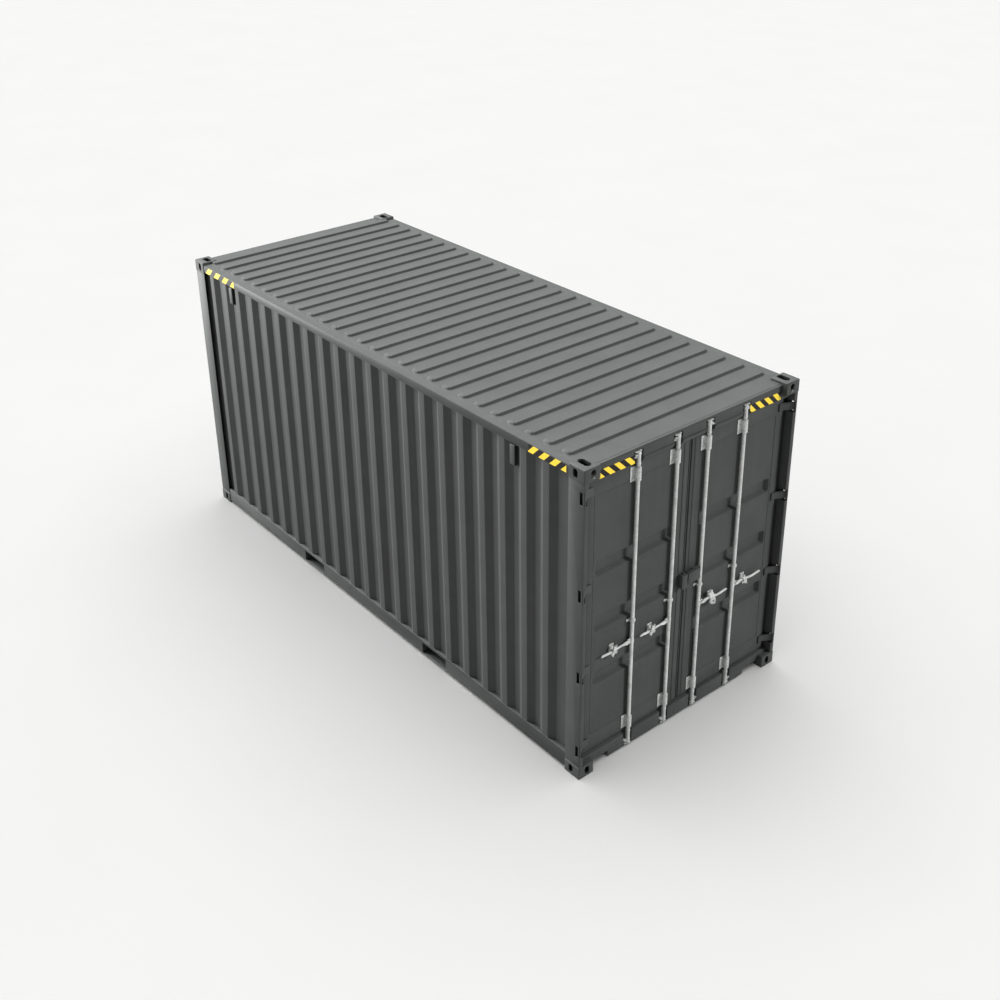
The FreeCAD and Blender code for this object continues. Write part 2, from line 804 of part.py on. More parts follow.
def cam_keepers():
    """A plate with an upper and a lower shelf beside each end of each lock rod, open in front."""
    solids = []
    back = f"{END} - pocket_back"
    front = f"{END} - keeper_front"
    for side_name, side in SIDES:
        for place, middle in (("inner", "rod_inner"), ("outer", "rod_outer")):
            near = f"{middle} + rod_radius + keeper_plate"
            span = beside(side, near, f"{near} + keeper_wide")
            for level, low, high in (
                ("top", f"{ROD_TOP} - tooth_spacing - tooth_thick", ROD_TOP),
                ("bottom", "rod_bottom", "rod_bottom + tooth_spacing + tooth_thick"),
            ):
                name = f"keeper_{side_name}_{place}_{level}"
                floor_z = f"{low} - keeper_gap - keeper_plate"
                roof_z = f"{high} + keeper_gap + keeper_plate"
                if level == "top":
                    shelves = [(floor_z, f"{floor_z} + keeper_plate")]
                    roof_z = high
                else:
                    shelves = [(f"{roof_z} - keeper_plate", roof_z)]
                    floor_z = "sill_bottom + end_plate"
                pieces = [block(name + "_back", (back, f"{back} + end_plate"), span, (floor_z, roof_z))]
                for number, shelf in enumerate(shelves):
                    pieces.append(block(f"{name}_shelf_{number}", (back, front), span, shelf))
                solids.append(fuse(name, pieces))
    keep(together("cam_keepers", solids), "cam_keepers")


def hinge_pins():
    """Each pin, with the lug above and below it that joins it to the post."""
    solids = []
    for side_name, side in SIDES:
        y = f"{side} * {PIN_Y}"
        for count, level in enumerate(HINGE_LEVELS):
            low = f"{level} - hinge_notch_tall / 2"
            high = f"{level} + hinge_notch_tall / 2"
            name = f"hinge_pin_{side_name}_{count}"
            lugs = [
                post(name + "_pin", "pin_radius", PIN_X, y, (low, high)),
                post(name + "_low", "barrel_radius", PIN_X, y, (low, f"{low} + lug_tall")),
                post(name + "_high", "barrel_radius", PIN_X, y, (f"{high} - lug_tall", high)),
            ]
            solids.append(fuse(name, lugs))
    keep(together("hinge_pins", solids), "hinge_pins")


def vent_covers():
    """A cover in a valley near each end of each side wall."""
    solids = []
    outer = f"({SIDE} - wall_set)"
    top = f"{TOP_RAIL_BOTTOM} - vent_below_rail"
    first = f"(wall_lead - {INNER_END})"
    for side_name, side in SIDES:
        for end, pitches in (("front", 1.5), ("rear", CREST_COUNT - 2.5)):
            middle = f"{first} + {pitches} * wall_pitch"
            x = (f"{middle} - vent_wide / 2", f"{middle} + vent_wide / 2")
            y = beside(side, f"{outer} - vent_deep", f"{outer} + vent_proud")
            solids.append(block(f"vent_{side_name}_{end}", x, y, (f"{top} - vent_tall", top)))
    return solids


# Door leaves.


def leaf_frame(side_name, side):
    x = (f"{DOOR_FACE} - leaf_thick", DOOR_FACE)
    y = beside(side, "leaf_centre_gap", LEAF_EDGE)
    z = ("leaf_bottom", LEAF_TOP)
    whole = block(f"leaf_{side_name}", x, y, z)
    window = block(
        f"leaf_window_{side_name}",
        (f"{DOOR_FACE} - leaf_thick - 1", f"{DOOR_FACE} + 1"),
        beside(side, "leaf_centre_gap + centre_member", f"{LEAF_EDGE} - edge_member"),
        ("leaf_bottom + bottom_member", f"{LEAF_TOP} - top_member"),
    )
    keep(cut(f"frame_{side_name}", whole, [window]), f"door_frame_{side_name}")


def leaf_panel(side_name, side):
    """A sheet with three level grooves, between the members of the frame."""
    skin = size("sheet_skin")
    deep = size("groove_deep")
    slope = size("groove_slope")
    half = size("groove_tall") / 2
    low = size("leaf_bottom + bottom_member")
    high = size(f"{LEAF_TOP} - top_member")
    outline = [(low, 0.0)]
    for number in range(GROOVE_COUNT):
        middle = size("groove_low") + number * size("groove_spacing")
        outline.append((middle - half, 0.0))
        outline.append((middle - half + slope, deep))
        outline.append((middle + half - slope, deep))
        outline.append((middle + half, 0.0))
    outline.append((high, 0.0))
    section = outline + [(level, below + skin) for level, below in reversed(outline)]
    outer = size(DOOR_FACE) - size("panel_inset")
    near = side * size("leaf_centre_gap + centre_member")
    far = side * size(f"{LEAF_EDGE} - edge_member")
    points = [Vector(outer - below, near, level) for level, below in section]
    face = Part.Face(Part.makePolygon(points + points[:1]))
    panel = feature(f"panel_{side_name}", face.extrude(Vector(0, far - near, 0)))
    keep(panel, f"door_panel_{side_name}")


def leaf_seal(side_name, side):
    """The rubber seal round the leaf: it fills the gap to the opening but for its clearance."""
    x = (f"{DOOR_FACE} - seal_behind - seal_thick", f"{DOOR_FACE} - seal_behind")
    y = beside(side, "seal_centre", f"{JAMB} - seal_clearance")
    z = ("sill_ledge + seal_clearance", f"{OPENING_TOP} - seal_clearance")
    whole = block(f"seal_{side_name}", x, y, z)
    leaf = block(
        f"seal_leaf_{side_name}",
        (f"{DOOR_FACE} - leaf_thick", DOOR_FACE),
        beside(side, "leaf_centre_gap", LEAF_EDGE),
        ("leaf_bottom", LEAF_TOP),
    )
    keep(cut(f"seal_ring_{side_name}", whole, [leaf]), f"door_seal_{side_name}")


def hinge_blades(side_name, side):
    """A barrel on the pin and an arm that bends back on to the face of the leaf."""
    face = size(DOOR_FACE) - size(PIN_X)
    edge = size(LEAF_EDGE) - size(PIN_Y)
    thick = size("blade_thick")
    reach = edge - size("blade_reach")
    barrel = size("barrel_radius")
    outline = [
        (-barrel * 0.3, -barrel * 0.6),
        (face + thick, edge),
        (face + thick, reach),
        (face, reach),
        (face, edge),
        (-barrel * 0.8, barrel * 0.2),
    ]
    pin_x = size(PIN_X)
    pin_y = size(PIN_Y)
    tall = size("hinge_notch_tall - 2 * lug_tall - 2 * blade_play")
    barrel_tall = size("hinge_notch_tall - 2 * lug_tall - 2 * barrel_gap")
    bore = size("pin_radius + pin_clearance")
    solids = []
    for level_text in HINGE_LEVELS:
        level = size(level_text)
        points = [Vector(pin_x + x, side * (pin_y + y), level - tall / 2) for x, y in outline]
        arm = Part.Face(Part.makePolygon(points + points[:1])).extrude(Vector(0, 0, tall))
        foot = Vector(pin_x, side * pin_y, level - barrel_tall / 2)
        ring = Part.makeCylinder(barrel, barrel_tall, foot)
        hole = Part.makeCylinder(bore, barrel_tall, foot)
        solids.append(arm.fuse(ring).cut(hole).removeSplitter())
    blades = feature(f"blades_{side_name}", Part.makeCompound(solids))
    keep(blades, f"hinge_blades_{side_name}")


def rod_bearings(side_name, side):
    """Straps that hold the two rods to the leaf, with a plate to the left of the outer ones."""
    solids = []
    for place, middle in rods_of(side):
        for kind, level, tall in (
            ("low", BEARING_LEVELS[0], "bearing_tall"),
            ("guide", "guide_level", "guide_tall"),
            ("high", BEARING_LEVELS[1], "bearing_tall"),
        ):
            name = f"bearing_{side_name}_{place}_{kind}"
            z = (f"{level} - {tall} / 2", f"{level} + {tall} / 2")
            radius = "rod_radius + strap_thick"
            half = f"({radius})"
            back = f"{DOOR_FACE} - panel_inset" if kind == "guide" else DOOR_FACE
            foot = block(name + "_foot", (back, ROD_AXIS), (f"{middle} - {half}", f"{middle} + {half}"), z)
            strap = post(name + "_strap", radius, ROD_AXIS, middle, z)
            plates = [foot, strap]
            if kind != "guide":
                plate_z = (f"{level} - bearing_plate_tall / 2", f"{level} + bearing_plate_tall / 2")
                plate_y = (f"{middle} - {half} - bearing_plate_wide", f"{middle} + {half}")
                plate_x = (DOOR_FACE, f"{DOOR_FACE} + bearing_plate_thick")
                plates.append(block(name + "_plate", plate_x, plate_y, plate_z))
            bore_z = (f"{level} - bearing_plate_tall", f"{level} + bearing_plate_tall")
            bore = post(name + "_bore", "rod_radius + rod_clearance", ROD_AXIS, middle, bore_z)
            solids.append(cut(name, fuse(name + "_solid", plates), [bore]))
    keep(together(f"bearings_{side_name}", solids), f"rod_bearings_{side_name}")


HANDLES = (
    ("left_outer", -1, "rod_outer", "catch_left_outer"),
    ("left_inner", -1, "rod_inner", "catch_left_outer"),
    ("right_inner", 1, "rod_inner", "catch_right_inner"),
    ("right_outer", 1, "rod_outer", "catch_right_outer"),
)


def handle_catches(side_name, wanted):
    """A plate on the leaf with a ledge that the handle lies over, open in front and above."""
    solids = []
    panel_edge = f"{LEAF_EDGE} - edge_member"
    for name, side, rod, catch in HANDLES:
        if side != wanted:
            continue
        low = "handle_level - handle_tall / 2 - catch_clearance - catch_ledge"
        middle = f"{rod} + {catch}"
        y = beside(side, f"{middle} - catch_wide / 2", f"{middle} + catch_wide / 2")
        ledge_y = beside(side, f"{middle} - catch_wide / 4", f"{middle} + catch_wide / 4")
        back = f"{DOOR_FACE} - panel_inset"
        plate = block(f"catch_{name}_plate", (back, f"{DOOR_FACE} + catch_plate"), y, (low, f"{low} + 70"))
        # where the plate runs past the panel it is joggled over the frame's member
        joggle_y = beside(side, panel_edge, LEAF_EDGE)
        joggle = block(f"catch_{name}_joggle", (back, DOOR_FACE), joggle_y, (low, f"{low} + 70"))
        ledge_x = (DOOR_FACE, f"{END} - handle_front")
        ledge = block(f"catch_{name}_ledge", ledge_x, ledge_y, (low, f"{low} + catch_ledge"))
        solids.append(cut(f"catch_{name}", fuse(f"catch_{name}_solid", [plate, ledge]), [joggle]))
    keep(together(f"catches_{side_name}", solids), f"handle_catches_{side_name}")


def lock_box(side_name, side):
    """One half of the lock box: a hood on the leaf, open underneath."""
    low = "lock_box_level - lock_box_tall / 2"
    high = "lock_box_level + lock_box_tall / 2"
    near = "lock_box_gap"
    far = f"lock_box_gap + lock_box_{side_name}"
    front = f"{END} - lock_box_front"
    hood = block(f"lock_hood_{side_name}", (DOOR_FACE, front), beside(side, near, far), (low, high))
    room = block(
        f"lock_room_{side_name}",
        (f"{DOOR_FACE} + lock_box_wall", f"{front} - lock_box_wall"),
        beside(side, f"{near} + lock_box_wall", f"{far} - lock_box_wall"),
        (f"{low} - 1", f"{high} - lock_box_wall"),
    )
    keep(cut(f"lock_{side_name}", hood, [room]), f"lock_box_{side_name}")


# Lock rods with their cams and hubs, and the handles.


def lock_rod(name, side, rod):
    y = f"{side} * {rod}"
    shaft = post(f"rod_{name}_shaft", "rod_radius", ROD_AXIS, y, ("rod_bottom", ROD_TOP))
    pieces = [shaft]
    for level, low in (
        ("bottom", "rod_bottom"),
        ("bottom_upper", "rod_bottom + tooth_spacing"),
        ("top", f"{ROD_TOP} - tooth_thick"),
        ("top_lower", f"{ROD_TOP} - tooth_spacing - tooth_thick"),
    ):
        x = (f"{ROD_AXIS} - tooth_wide / 2", f"{ROD_AXIS} + tooth_wide / 2")
        span = beside(side, rod, f"{rod} + tooth_reach")
        pieces.append(block(f"rod_{name}_tooth_{level}", x, span, (low, f"{low} + tooth_thick")))
    back = f"{END} - handle_front - handle_thick - ear_gap - ear_thick"
    hub_z = ("handle_level - hub_tall / 2", "handle_level + hub_tall / 2")
    pieces.append(post(f"rod_{name}_hub", "rod_radius + hub_thick", ROD_AXIS, y, hub_z))
    ear_y = beside(side, rod, f"{rod} + rivet_from_rod + 2 * rivet_radius")
    pieces.append(block(f"rod_{name}_ear", (back, f"{back} + ear_thick"), ear_y, hub_z))
    rivet_x = (back, f"{END} - handle_front")
    rivet_y = f"{side} * ({rod} + rivet_from_rod)"
    pieces.append(across(f"rod_{name}_rivet", "rivet_radius", rivet_x, rivet_y, "handle_level"))
    keep(fuse(f"rod_{name}", pieces), f"lock_rod_{name}")


def handle(name, side, rod):
    """A flat bar with round ends, on the hub's rivet."""
    x = (f"{END} - handle_front - handle_thick", f"{END} - handle_front")
    root = f"{rod} + rivet_from_rod"
    tip = f"{rod} + handle_reach - handle_tall / 2"
    z = ("handle_level - handle_tall / 2", "handle_level + handle_tall / 2")
    pieces = [
        block(f"handle_{name}_grip", x, beside(side, root, tip), z),
        across(f"handle_{name}_root", "handle_tall / 2 + 3", x, f"{side} * ({root})", "handle_level"),
        across(f"handle_{name}_tip", "handle_tall / 2", x, f"{side} * ({tip})", "handle_level"),
    ]
    bore_x = (f"{END} - handle_front - handle_thick - 1", f"{END} - handle_front + 1")
    bore = across(
        f"handle_{name}_bore",
        "rivet_radius + rivet_clearance",
        bore_x,
        f"{side} * ({root})",
        "handle_level",
    )
    keep(cut(f"handle_{name}", fuse(f"handle_{name}_solid", pieces), [bore]), f"handle_{name}")


def build():
    corner_castings()
    rear_post()
    front_post()
    top_side_rail()
    bottom_side_rail()
    door_header()
    door_sill()
    front_rails()
    side_wall()
    front_wall()
    roof_panel()
    floor()
    crossmembers()
    fork_pockets()
    cam_keepers()
    hinge_pins()
    keep(together("vent_covers", vent_covers()), "vent_covers")
    for side_name, side in SIDES:
        leaf_frame(side_name, side)
        leaf_panel(side_name, side)
        leaf_seal(side_name, side)
        hinge_blades(side_name, side)
        rod_bearings(side_name, side)
        handle_catches(side_name, side)
        lock_box(side_name, side)
    for name, side, rod, catch in HANDLES:
        lock_rod(name, side, rod)
        handle(name, side, rod)


def check():
    """Stops with a message if any object of the document failed."""
    for item in doc.Objects:
        if "Invalid" in item.State or "Error" in item.State:
            raise RuntimeError(f"{item.Name} failed: {item.State}")
    for item in parts:
        shape = item.Shape
        if shape.isNull() or not shape.isValid() or not shape.Solids:
            raise RuntimeError(f"{item.Label} has no valid solid")


def write():
    os.makedirs("parts", exist_ok=True)
    for item in parts:
        item.Shape.exportStep(f"parts/{item.Label}.step")
        print(f"{item.Label}: {len(item.Shape.Solids)} solids, {item.Shape.Volume / 1e6:.2f} dm3")


build()
doc.recompute()
check()
write()
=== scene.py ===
"""Looks of a twenty-foot high-cube freight container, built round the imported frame.

Row frame in metres: X runs along the container with the doors at +X, Y across it, Z up. Each
operator makes one piece or one group of like pieces; main() calls them in order.
"""
import json
import math

import bmesh
import bpy
from bpy.props import FloatProperty, FloatVectorProperty, IntProperty, PointerProperty
from mathutils import Matrix, Vector

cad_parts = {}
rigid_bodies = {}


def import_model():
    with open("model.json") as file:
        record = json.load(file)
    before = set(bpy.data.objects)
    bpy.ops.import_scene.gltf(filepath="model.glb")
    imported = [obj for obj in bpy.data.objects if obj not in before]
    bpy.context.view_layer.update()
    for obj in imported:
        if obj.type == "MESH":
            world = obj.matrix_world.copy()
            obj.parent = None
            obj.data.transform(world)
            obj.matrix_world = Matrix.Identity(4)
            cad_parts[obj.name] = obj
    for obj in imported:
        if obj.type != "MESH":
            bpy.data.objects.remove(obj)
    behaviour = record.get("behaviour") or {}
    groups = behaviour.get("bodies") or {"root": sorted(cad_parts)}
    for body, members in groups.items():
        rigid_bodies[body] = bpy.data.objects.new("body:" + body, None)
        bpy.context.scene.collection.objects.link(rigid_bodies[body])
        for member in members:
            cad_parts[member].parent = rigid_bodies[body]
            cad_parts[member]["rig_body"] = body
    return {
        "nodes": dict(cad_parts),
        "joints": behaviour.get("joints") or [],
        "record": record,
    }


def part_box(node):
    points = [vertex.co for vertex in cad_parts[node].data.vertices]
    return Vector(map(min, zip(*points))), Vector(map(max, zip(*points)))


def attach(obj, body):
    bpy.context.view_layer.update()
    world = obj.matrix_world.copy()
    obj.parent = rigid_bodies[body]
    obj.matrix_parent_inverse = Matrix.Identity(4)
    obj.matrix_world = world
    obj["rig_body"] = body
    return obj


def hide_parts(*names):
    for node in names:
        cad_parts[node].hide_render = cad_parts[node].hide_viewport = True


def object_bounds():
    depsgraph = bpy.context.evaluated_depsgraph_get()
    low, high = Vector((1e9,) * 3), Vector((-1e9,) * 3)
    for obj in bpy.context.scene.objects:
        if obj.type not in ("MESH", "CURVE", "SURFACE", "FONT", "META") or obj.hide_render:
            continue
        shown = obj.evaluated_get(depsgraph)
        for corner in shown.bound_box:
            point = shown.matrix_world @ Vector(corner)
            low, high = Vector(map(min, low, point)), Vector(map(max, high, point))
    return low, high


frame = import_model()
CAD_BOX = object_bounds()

bl_info = {
    "name": "Freight container",
    "version": (1, 0, 0),
    "blender": (4, 5, 0),
    "location": "View3D > Sidebar > Container",
    "description": "Builds the sheets, forgings, paint and zinc of a high-cube freight container",
    "category": "Object",
}

MM = 0.001
NODES = frame["nodes"]
SIDES = (("left", -1), ("right", 1))
RODS = (("left_outer", -1), ("left_inner", -1), ("right_inner", 1), ("right_outer", 1))
PAINT_SLOT = "dark_grey_paint"
ZINC_SLOT = "galvanised_steel"
RUBBER_SLOT = "seal_rubber"
BOARD_SLOT = "floor_plywood"


def linear(code):
    """An sRGB hex colour as linear red, green and blue."""
    levels = [int(code[place:place + 2], 16) / 255 for place in (1, 3, 5)]
    return tuple(v / 12.92 if v <= 0.04045 else ((v + 0.055) / 1.055) ** 2.4 for v in levels)


# Sizes and colours that a user would change.


class ContainerSizes(bpy.types.PropertyGroup):
    """Sizes of the sheets and small fittings."""

    def mm(name, description, default):
        metres = default * MM
        return FloatProperty(name=name, description=description, default=metres, unit="LENGTH", precision=4)

    skin: mm("Sheet thickness", "Steel sheet of walls, roof and doors", 2)
    bend: mm("Bend radius", "Outer radius where a sheet is folded", 13)
    crest: mm("Crest width", "Flat outer face of one side wall fold", 70)
    slope: mm("Slope run", "Distance along the wall that a slope takes", 66)
    pitch: mm("Wall pitch", "Distance from one side wall fold to the next", 264.5)
    lead: mm("First fold", "From the end of the side wall to its first crest's middle", 156)
    end_pitch: mm("End wall pitch", "Distance from one fold of the blind end to the next", 250)
    rib_pitch: mm("Rib pitch", "Distance from one roof rib to the next", 212.7)
    rib_start: mm("First rib", "From the door end to the foot of the first roof rib", 275)
    rib_wide: mm("Rib width", "Width of a roof rib at its foot", 119)
    rib_run: mm("Rib slope", "Distance that the side of a roof rib takes", 15)
    rib_tall: mm("Rib height", "Height of a roof rib", 20)
    rib_margin: mm("Rib margin", "From the container's side to the end of a roof rib", 96)
    groove_low: mm("First groove", "Level of the lowest groove in a door", 880)
    groove_spacing: mm("Groove spacing", "Distance from one door groove to the next", 521)
    groove_tall: mm("Groove height", "Height of a door groove at its mouth", 146)
    groove_deep: mm("Groove depth", "Depth of a door groove", 36)
    groove_run: mm("Groove slope", "Distance that the side of a door groove takes", 34)
    groove_margin: mm("Groove margin", "From the edge of a door's sheet to the end of a groove", 14)
    dent: mm("Unevenness", "How far flat sheet wanders from true", 1.1)
    bead: mm("Weld bead", "Height of a weld bead", 3)


class ContainerFinish(bpy.types.PropertyGroup):
    """Colours of the finishes."""

    def tint(name, description, code):
        return FloatVectorProperty(
            name=name, description=description, subtype="COLOR", size=3, min=0, max=1, default=linear(code)
        )

    paint: tint("Enamel", "Sprayed anthracite enamel", "#3c3e3d")
    zinc: tint("Zinc", "Hot-dip zinc coat", "#cfd1cf")
    rubber: tint("Rubber", "Extruded seal rubber", "#161718")
    board: tint("Board", "Sealed hardwood floor board", "#8a6a48")
    signal: tint("Signal yellow", "Bright bars of the striped tape", "#eccb3c")
    signal_dark: tint("Signal black", "Dark bars of the striped tape", "#141112")
    # painted shade: the near-black tone of the corner castings' hollow insides, where shade falls
    scale: tint("Mould scale", "Black scale inside the corner castings", "#1a1918")
    ground: tint("Studio floor", "Pale paper that the container stands on", "#f4f4f3")
    stripe_count: IntProperty(name="Stripes", description="Half-bars along one tape", default=8, min=3)


# Materials.


def feed(tree, made, **settings):
    """Sets up a node. Each setting is an attribute or a socket, i0 being the first, and takes a
    value or the socket that feeds it; stops are (position, grey or colour) pairs on a ramp."""
    for name, value in settings.items():
        if name == "stops":
            elements = made.color_ramp.elements
            for number, (position, tone) in enumerate(value):
                element = elements[number] if number < 2 else elements.new(position)
                element.position = position
                element.color = (tone,) * 3 + (1,) if isinstance(tone, (int, float)) else (*tone, 1)
        elif hasattr(made, name) and name not in made.inputs:
            setattr(made, name, value)
        else:
            socket = made.inputs[int(name[1:]) if name[1:].isdigit() else name.replace("_", " ")]
            if isinstance(value, bpy.types.NodeSocket):
                tree.links.new(value, socket)
            else:
                socket.default_value = value
    return made


def node(tree, kind, **settings):
    return feed(tree, tree.nodes.new("ShaderNode" + kind), **settings)


def blank(name):
    """A new material with an empty tree: its tree, its shader and its object coordinates."""
    material = bpy.data.materials.new(name)
    material.use_nodes = True
    tree = material.node_tree
    shader = tree.nodes["Principled BSDF"]
    place = node(tree, "TexCoord").outputs["Object"]
    return material, tree, shader, place


def shade(colour, factor):
    return tuple(min(1.0, channel * factor) for channel in colour)


def sprayed_anthracite_enamel(name, tint):
    """Two-pack enamel sprayed on shot-blasted steel: satin, a little uneven from pass to pass,
    lighter on what faces up, partly from dusting and partly as painted top light, with dull runs where rain
    has come down."""
    material, tree, shader, place = blank(name)
    # a spray pass is about 300 mm wide, and its overlaps show as faint clouds
    clouds = node(tree, "TexNoise", Vector=place, Scale=3.2, Detail=5.0, Roughness=0.6).outputs["Fac"]
    cloud_tone = node(
        tree, "ValToRGB", Fac=clouds, stops=((0.3, shade(tint, 0.9)), (0.72, shade(tint, 1.1)))
    ).outputs["Color"]
    # rain runs: 30 mm wide and as long as a wall is tall
    tall = node(tree, "Mapping", Scale=(34.0, 34.0, 0.9), Vector=place)
    runs = node(tree, "TexNoise", Vector=tall.outputs["Vector"], Scale=1.0, Detail=3.0).outputs["Fac"]
    run_share = node(tree, "ValToRGB", Fac=runs, stops=((0.5, 0.0), (0.78, 0.32))).outputs["Color"]
    with_runs = node(
        tree, "Mix", data_type="RGBA", i0=run_share, i6=cloud_tone, i7=(*shade(tint, 1.32), 1)
    ).outputs[2]
    # upward faces turn lighter, partly from settled dusting and partly as painted top light; grains are
    # under 0.1 mm, drawn as 8 mm mottle
    facing = node(tree, "NewGeometry")
    up = node(tree, "SeparateXYZ", Vector=facing.outputs["Normal"])
    mottle = node(tree, "TexNoise", Vector=place, Scale=55.0, Detail=6.0, Roughness=0.7).outputs["Fac"]
    upward = node(
        tree, "Math", operation="MULTIPLY", i0=up.outputs["Z"], i1=mottle, use_clamp=True
    ).outputs[0]
    dust_and_top_light = node(tree, "Math", operation="MULTIPLY", i0=upward, i1=0.30).outputs[0]
    dusted_and_top_lit = node(tree, "Mix", data_type="RGBA", i0=dust_and_top_light, i6=with_runs, i7=(*shade(tint, 1.9), 1)).outputs[2]
    # satin sheen varies by a tenth or so where the film is thin
    sheen = node(tree, "MapRange", To_Min=0.45, To_Max=0.63, Value=mottle).outputs["Result"]
    feed(tree, shader, Base_Color=dusted_and_top_lit, Roughness=sheen, IOR=1.47, Specular_IOR_Level=0.22)
    # orange peel is 1 to 2 mm across; drawn at 6 mm so that it shows
    peel = node(tree, "TexNoise", Vector=place, Scale=160.0, Detail=2.0).outputs["Fac"]
    relief = node(tree, "Bump", Strength=0.12, Distance=0.0006, Height=peel)
    waves = node(tree, "TexNoise", Vector=place, Scale=5.5, Detail=1.0).outputs["Fac"]
    wavy = node(tree, "Bump", Strength=0.35, Distance=0.0035, Height=waves, Normal=relief.outputs["Normal"])
    feed(tree, shader, Normal=wavy.outputs["Normal"])
    return material


def dip_galvanised_steel(name, tint):
    """Steel dipped in molten zinc: pale grey with a frost of crystals and duller bloom."""
    material, tree, shader, place = blank(name)
    # zinc crystals are 5 to 15 mm across
    crystals = node(tree, "TexVoronoi", Scale=95.0, Vector=place)
    tones = ((0.0, shade(tint, 0.8)), (1.0, shade(tint, 1.12)))
    frost = node(tree, "ValToRGB", Fac=crystals.outputs["Color"], stops=tones).outputs["Color"]
    bloom = node(tree, "TexNoise", Vector=place, Scale=14.0, Detail=7.0, Roughness=0.65).outputs["Fac"]
    bloom_share = node(tree, "ValToRGB", Fac=bloom, stops=((0.42, 0.0), (0.75, 0.7))).outputs["Color"]
    dull = node(
        tree, "Mix", data_type="RGBA", i0=bloom_share, i6=frost, i7=(*shade(tint, 0.62), 1)
    ).outputs[2]
    rough = node(tree, "MapRange", To_Min=0.34, To_Max=0.58, Value=bloom).outputs["Result"]
    relief = node(tree, "Bump", Strength=0.25, Distance=0.0008, Height=bloom)
    feed(tree, shader, Base_Color=dull, Metallic=0.4, Roughness=rough, Normal=relief.outputs["Normal"])
    return material


def sand_cast_steel(name, tint):
    """Painted shade for the hollow inside of a corner casting: near black, grainy, rough and almost without
    sheen.
    """
    material, tree, shader, place = blank(name)
    # sand grains leave pits of 0.5 mm; drawn at 4 mm
    grains = node(tree, "TexNoise", Vector=place, Scale=240.0, Detail=4.0).outputs["Fac"]
    tone = node(
        tree, "ValToRGB", Fac=grains, stops=((0.3, shade(tint, 0.6)), (0.7, shade(tint, 1.4)))
    ).outputs["Color"]
    relief = node(tree, "Bump", Strength=0.6, Distance=0.001, Height=grains)
    feed(tree, shader, Base_Color=tone, Roughness=0.9, IOR=1.45, Normal=relief.outputs["Normal"])
    return material


def extruded_rubber(name, tint):
    """Synthetic rubber drawn through a die: near black, matt, with fine lines along it."""
    material, tree, shader, place = blank(name)
    # die lines are 0.2 mm apart; drawn 4 mm apart
    lines = node(tree, "TexWave", Scale=40.0, Distortion=1.5, bands_direction="X", Vector=place)
    tone = node(
        tree, "ValToRGB", Fac=lines.outputs["Fac"], stops=((0.0, shade(tint, 0.75)), (1.0, shade(tint, 1.3)))
    ).outputs["Color"]
    relief = node(tree, "Bump", Strength=0.3, Distance=0.0005, Height=lines.outputs["Fac"])
    feed(tree, shader, Base_Color=tone, Roughness=0.72, IOR=1.52, Normal=relief.outputs["Normal"])
    return material


def sealed_hardwood_board(name, tint):
    """Layered hardwood, peeled and glued, then sealed: long grain and a seam every 300 mm."""
    material, tree, shader, place = blank(name)
    # grain lines are 1 to 3 mm apart across the board and 200 mm long
    long = node(tree, "Mapping", Scale=(1.2, 90.0, 90.0), Vector=place)
    grain = node(
        tree, "TexNoise", Vector=long.outputs["Vector"], Scale=2.0, Detail=6.0, Distortion=0.4
    ).outputs["Fac"]
    tone = node(
        tree, "ValToRGB", Fac=grain, stops=((0.3, shade(tint, 0.6)), (0.7, shade(tint, 1.2)))
    ).outputs["Color"]
    boards = node(tree, "TexWave", Scale=0.53, bands_direction="Y", Vector=place)
    seam = node(
        tree, "ValToRGB", Fac=boards.outputs["Fac"], stops=((0.0, 0.25), (0.02, 1.0))
    ).outputs["Color"]
    dark = node(tree, "Mix", data_type="RGBA", blend_type="MULTIPLY", i6=tone, i7=seam, i0=1.0).outputs[2]
    relief = node(tree, "Bump", Strength=0.3, Distance=0.0006, Height=grain)
    feed(tree, shader, Base_Color=dark, Roughness=0.5, Normal=relief.outputs["Normal"])
    return material


def striped_reflective_tape(name, along, origin, period, lean, finish):
    """Printed retroreflective film: leaning bars under a clear face with a honeycomb of cells.
    along is 0 for a tape that runs in X and 1 for one in Y."""
    material, tree, shader, place = blank(name)
    parts = node(tree, "SeparateXYZ", Vector=place)
    # bars: the distance along the tape, plus or less the height for the lean, in bar pairs
    height = node(tree, "Math", operation="MULTIPLY", i0=parts.outputs["Z"], i1=lean).outputs[0]
    slant = node(tree, "Math", operation="ADD", i0=parts.outputs["XY"[along]], i1=height).outputs[0]
    shifted = node(tree, "Math", operation="SUBTRACT", i0=slant, i1=origin).outputs[0]
    count = node(tree, "Math", operation="DIVIDE", i0=shifted, i1=period).outputs[0]
    phase = node(tree, "Math", operation="FRACT", i0=count).outputs[0]
    bar = node(tree, "Math", operation="LESS_THAN", i0=phase, i1=0.5).outputs[0]
    # honeycomb cells are 3 mm across; drawn at 7 mm
    cells = node(tree, "TexVoronoi", Scale=140.0, feature="DISTANCE_TO_EDGE", Vector=place)
    wall = node(
        tree, "ValToRGB", Fac=cells.outputs["Distance"], stops=((0.0, 0.82), (0.12, 1.0))
    ).outputs["Color"]
    bars = node(
        tree, "Mix", data_type="RGBA", i0=bar, i6=(*finish.signal_dark, 1), i7=(*finish.signal, 1)
    ).outputs[2]
    printed = node(tree, "Mix", data_type="RGBA", blend_type="MULTIPLY", i6=bars, i7=wall, i0=1.0).outputs[2]
    relief = node(tree, "Bump", Strength=0.2, Distance=0.0003, Height=cells.outputs["Distance"])
    feed(tree, shader, Base_Color=printed, Normal=relief.outputs["Normal"])
    feed(tree, shader, Roughness=0.38, IOR=1.49, Specular_IOR_Level=0.2)
    return material


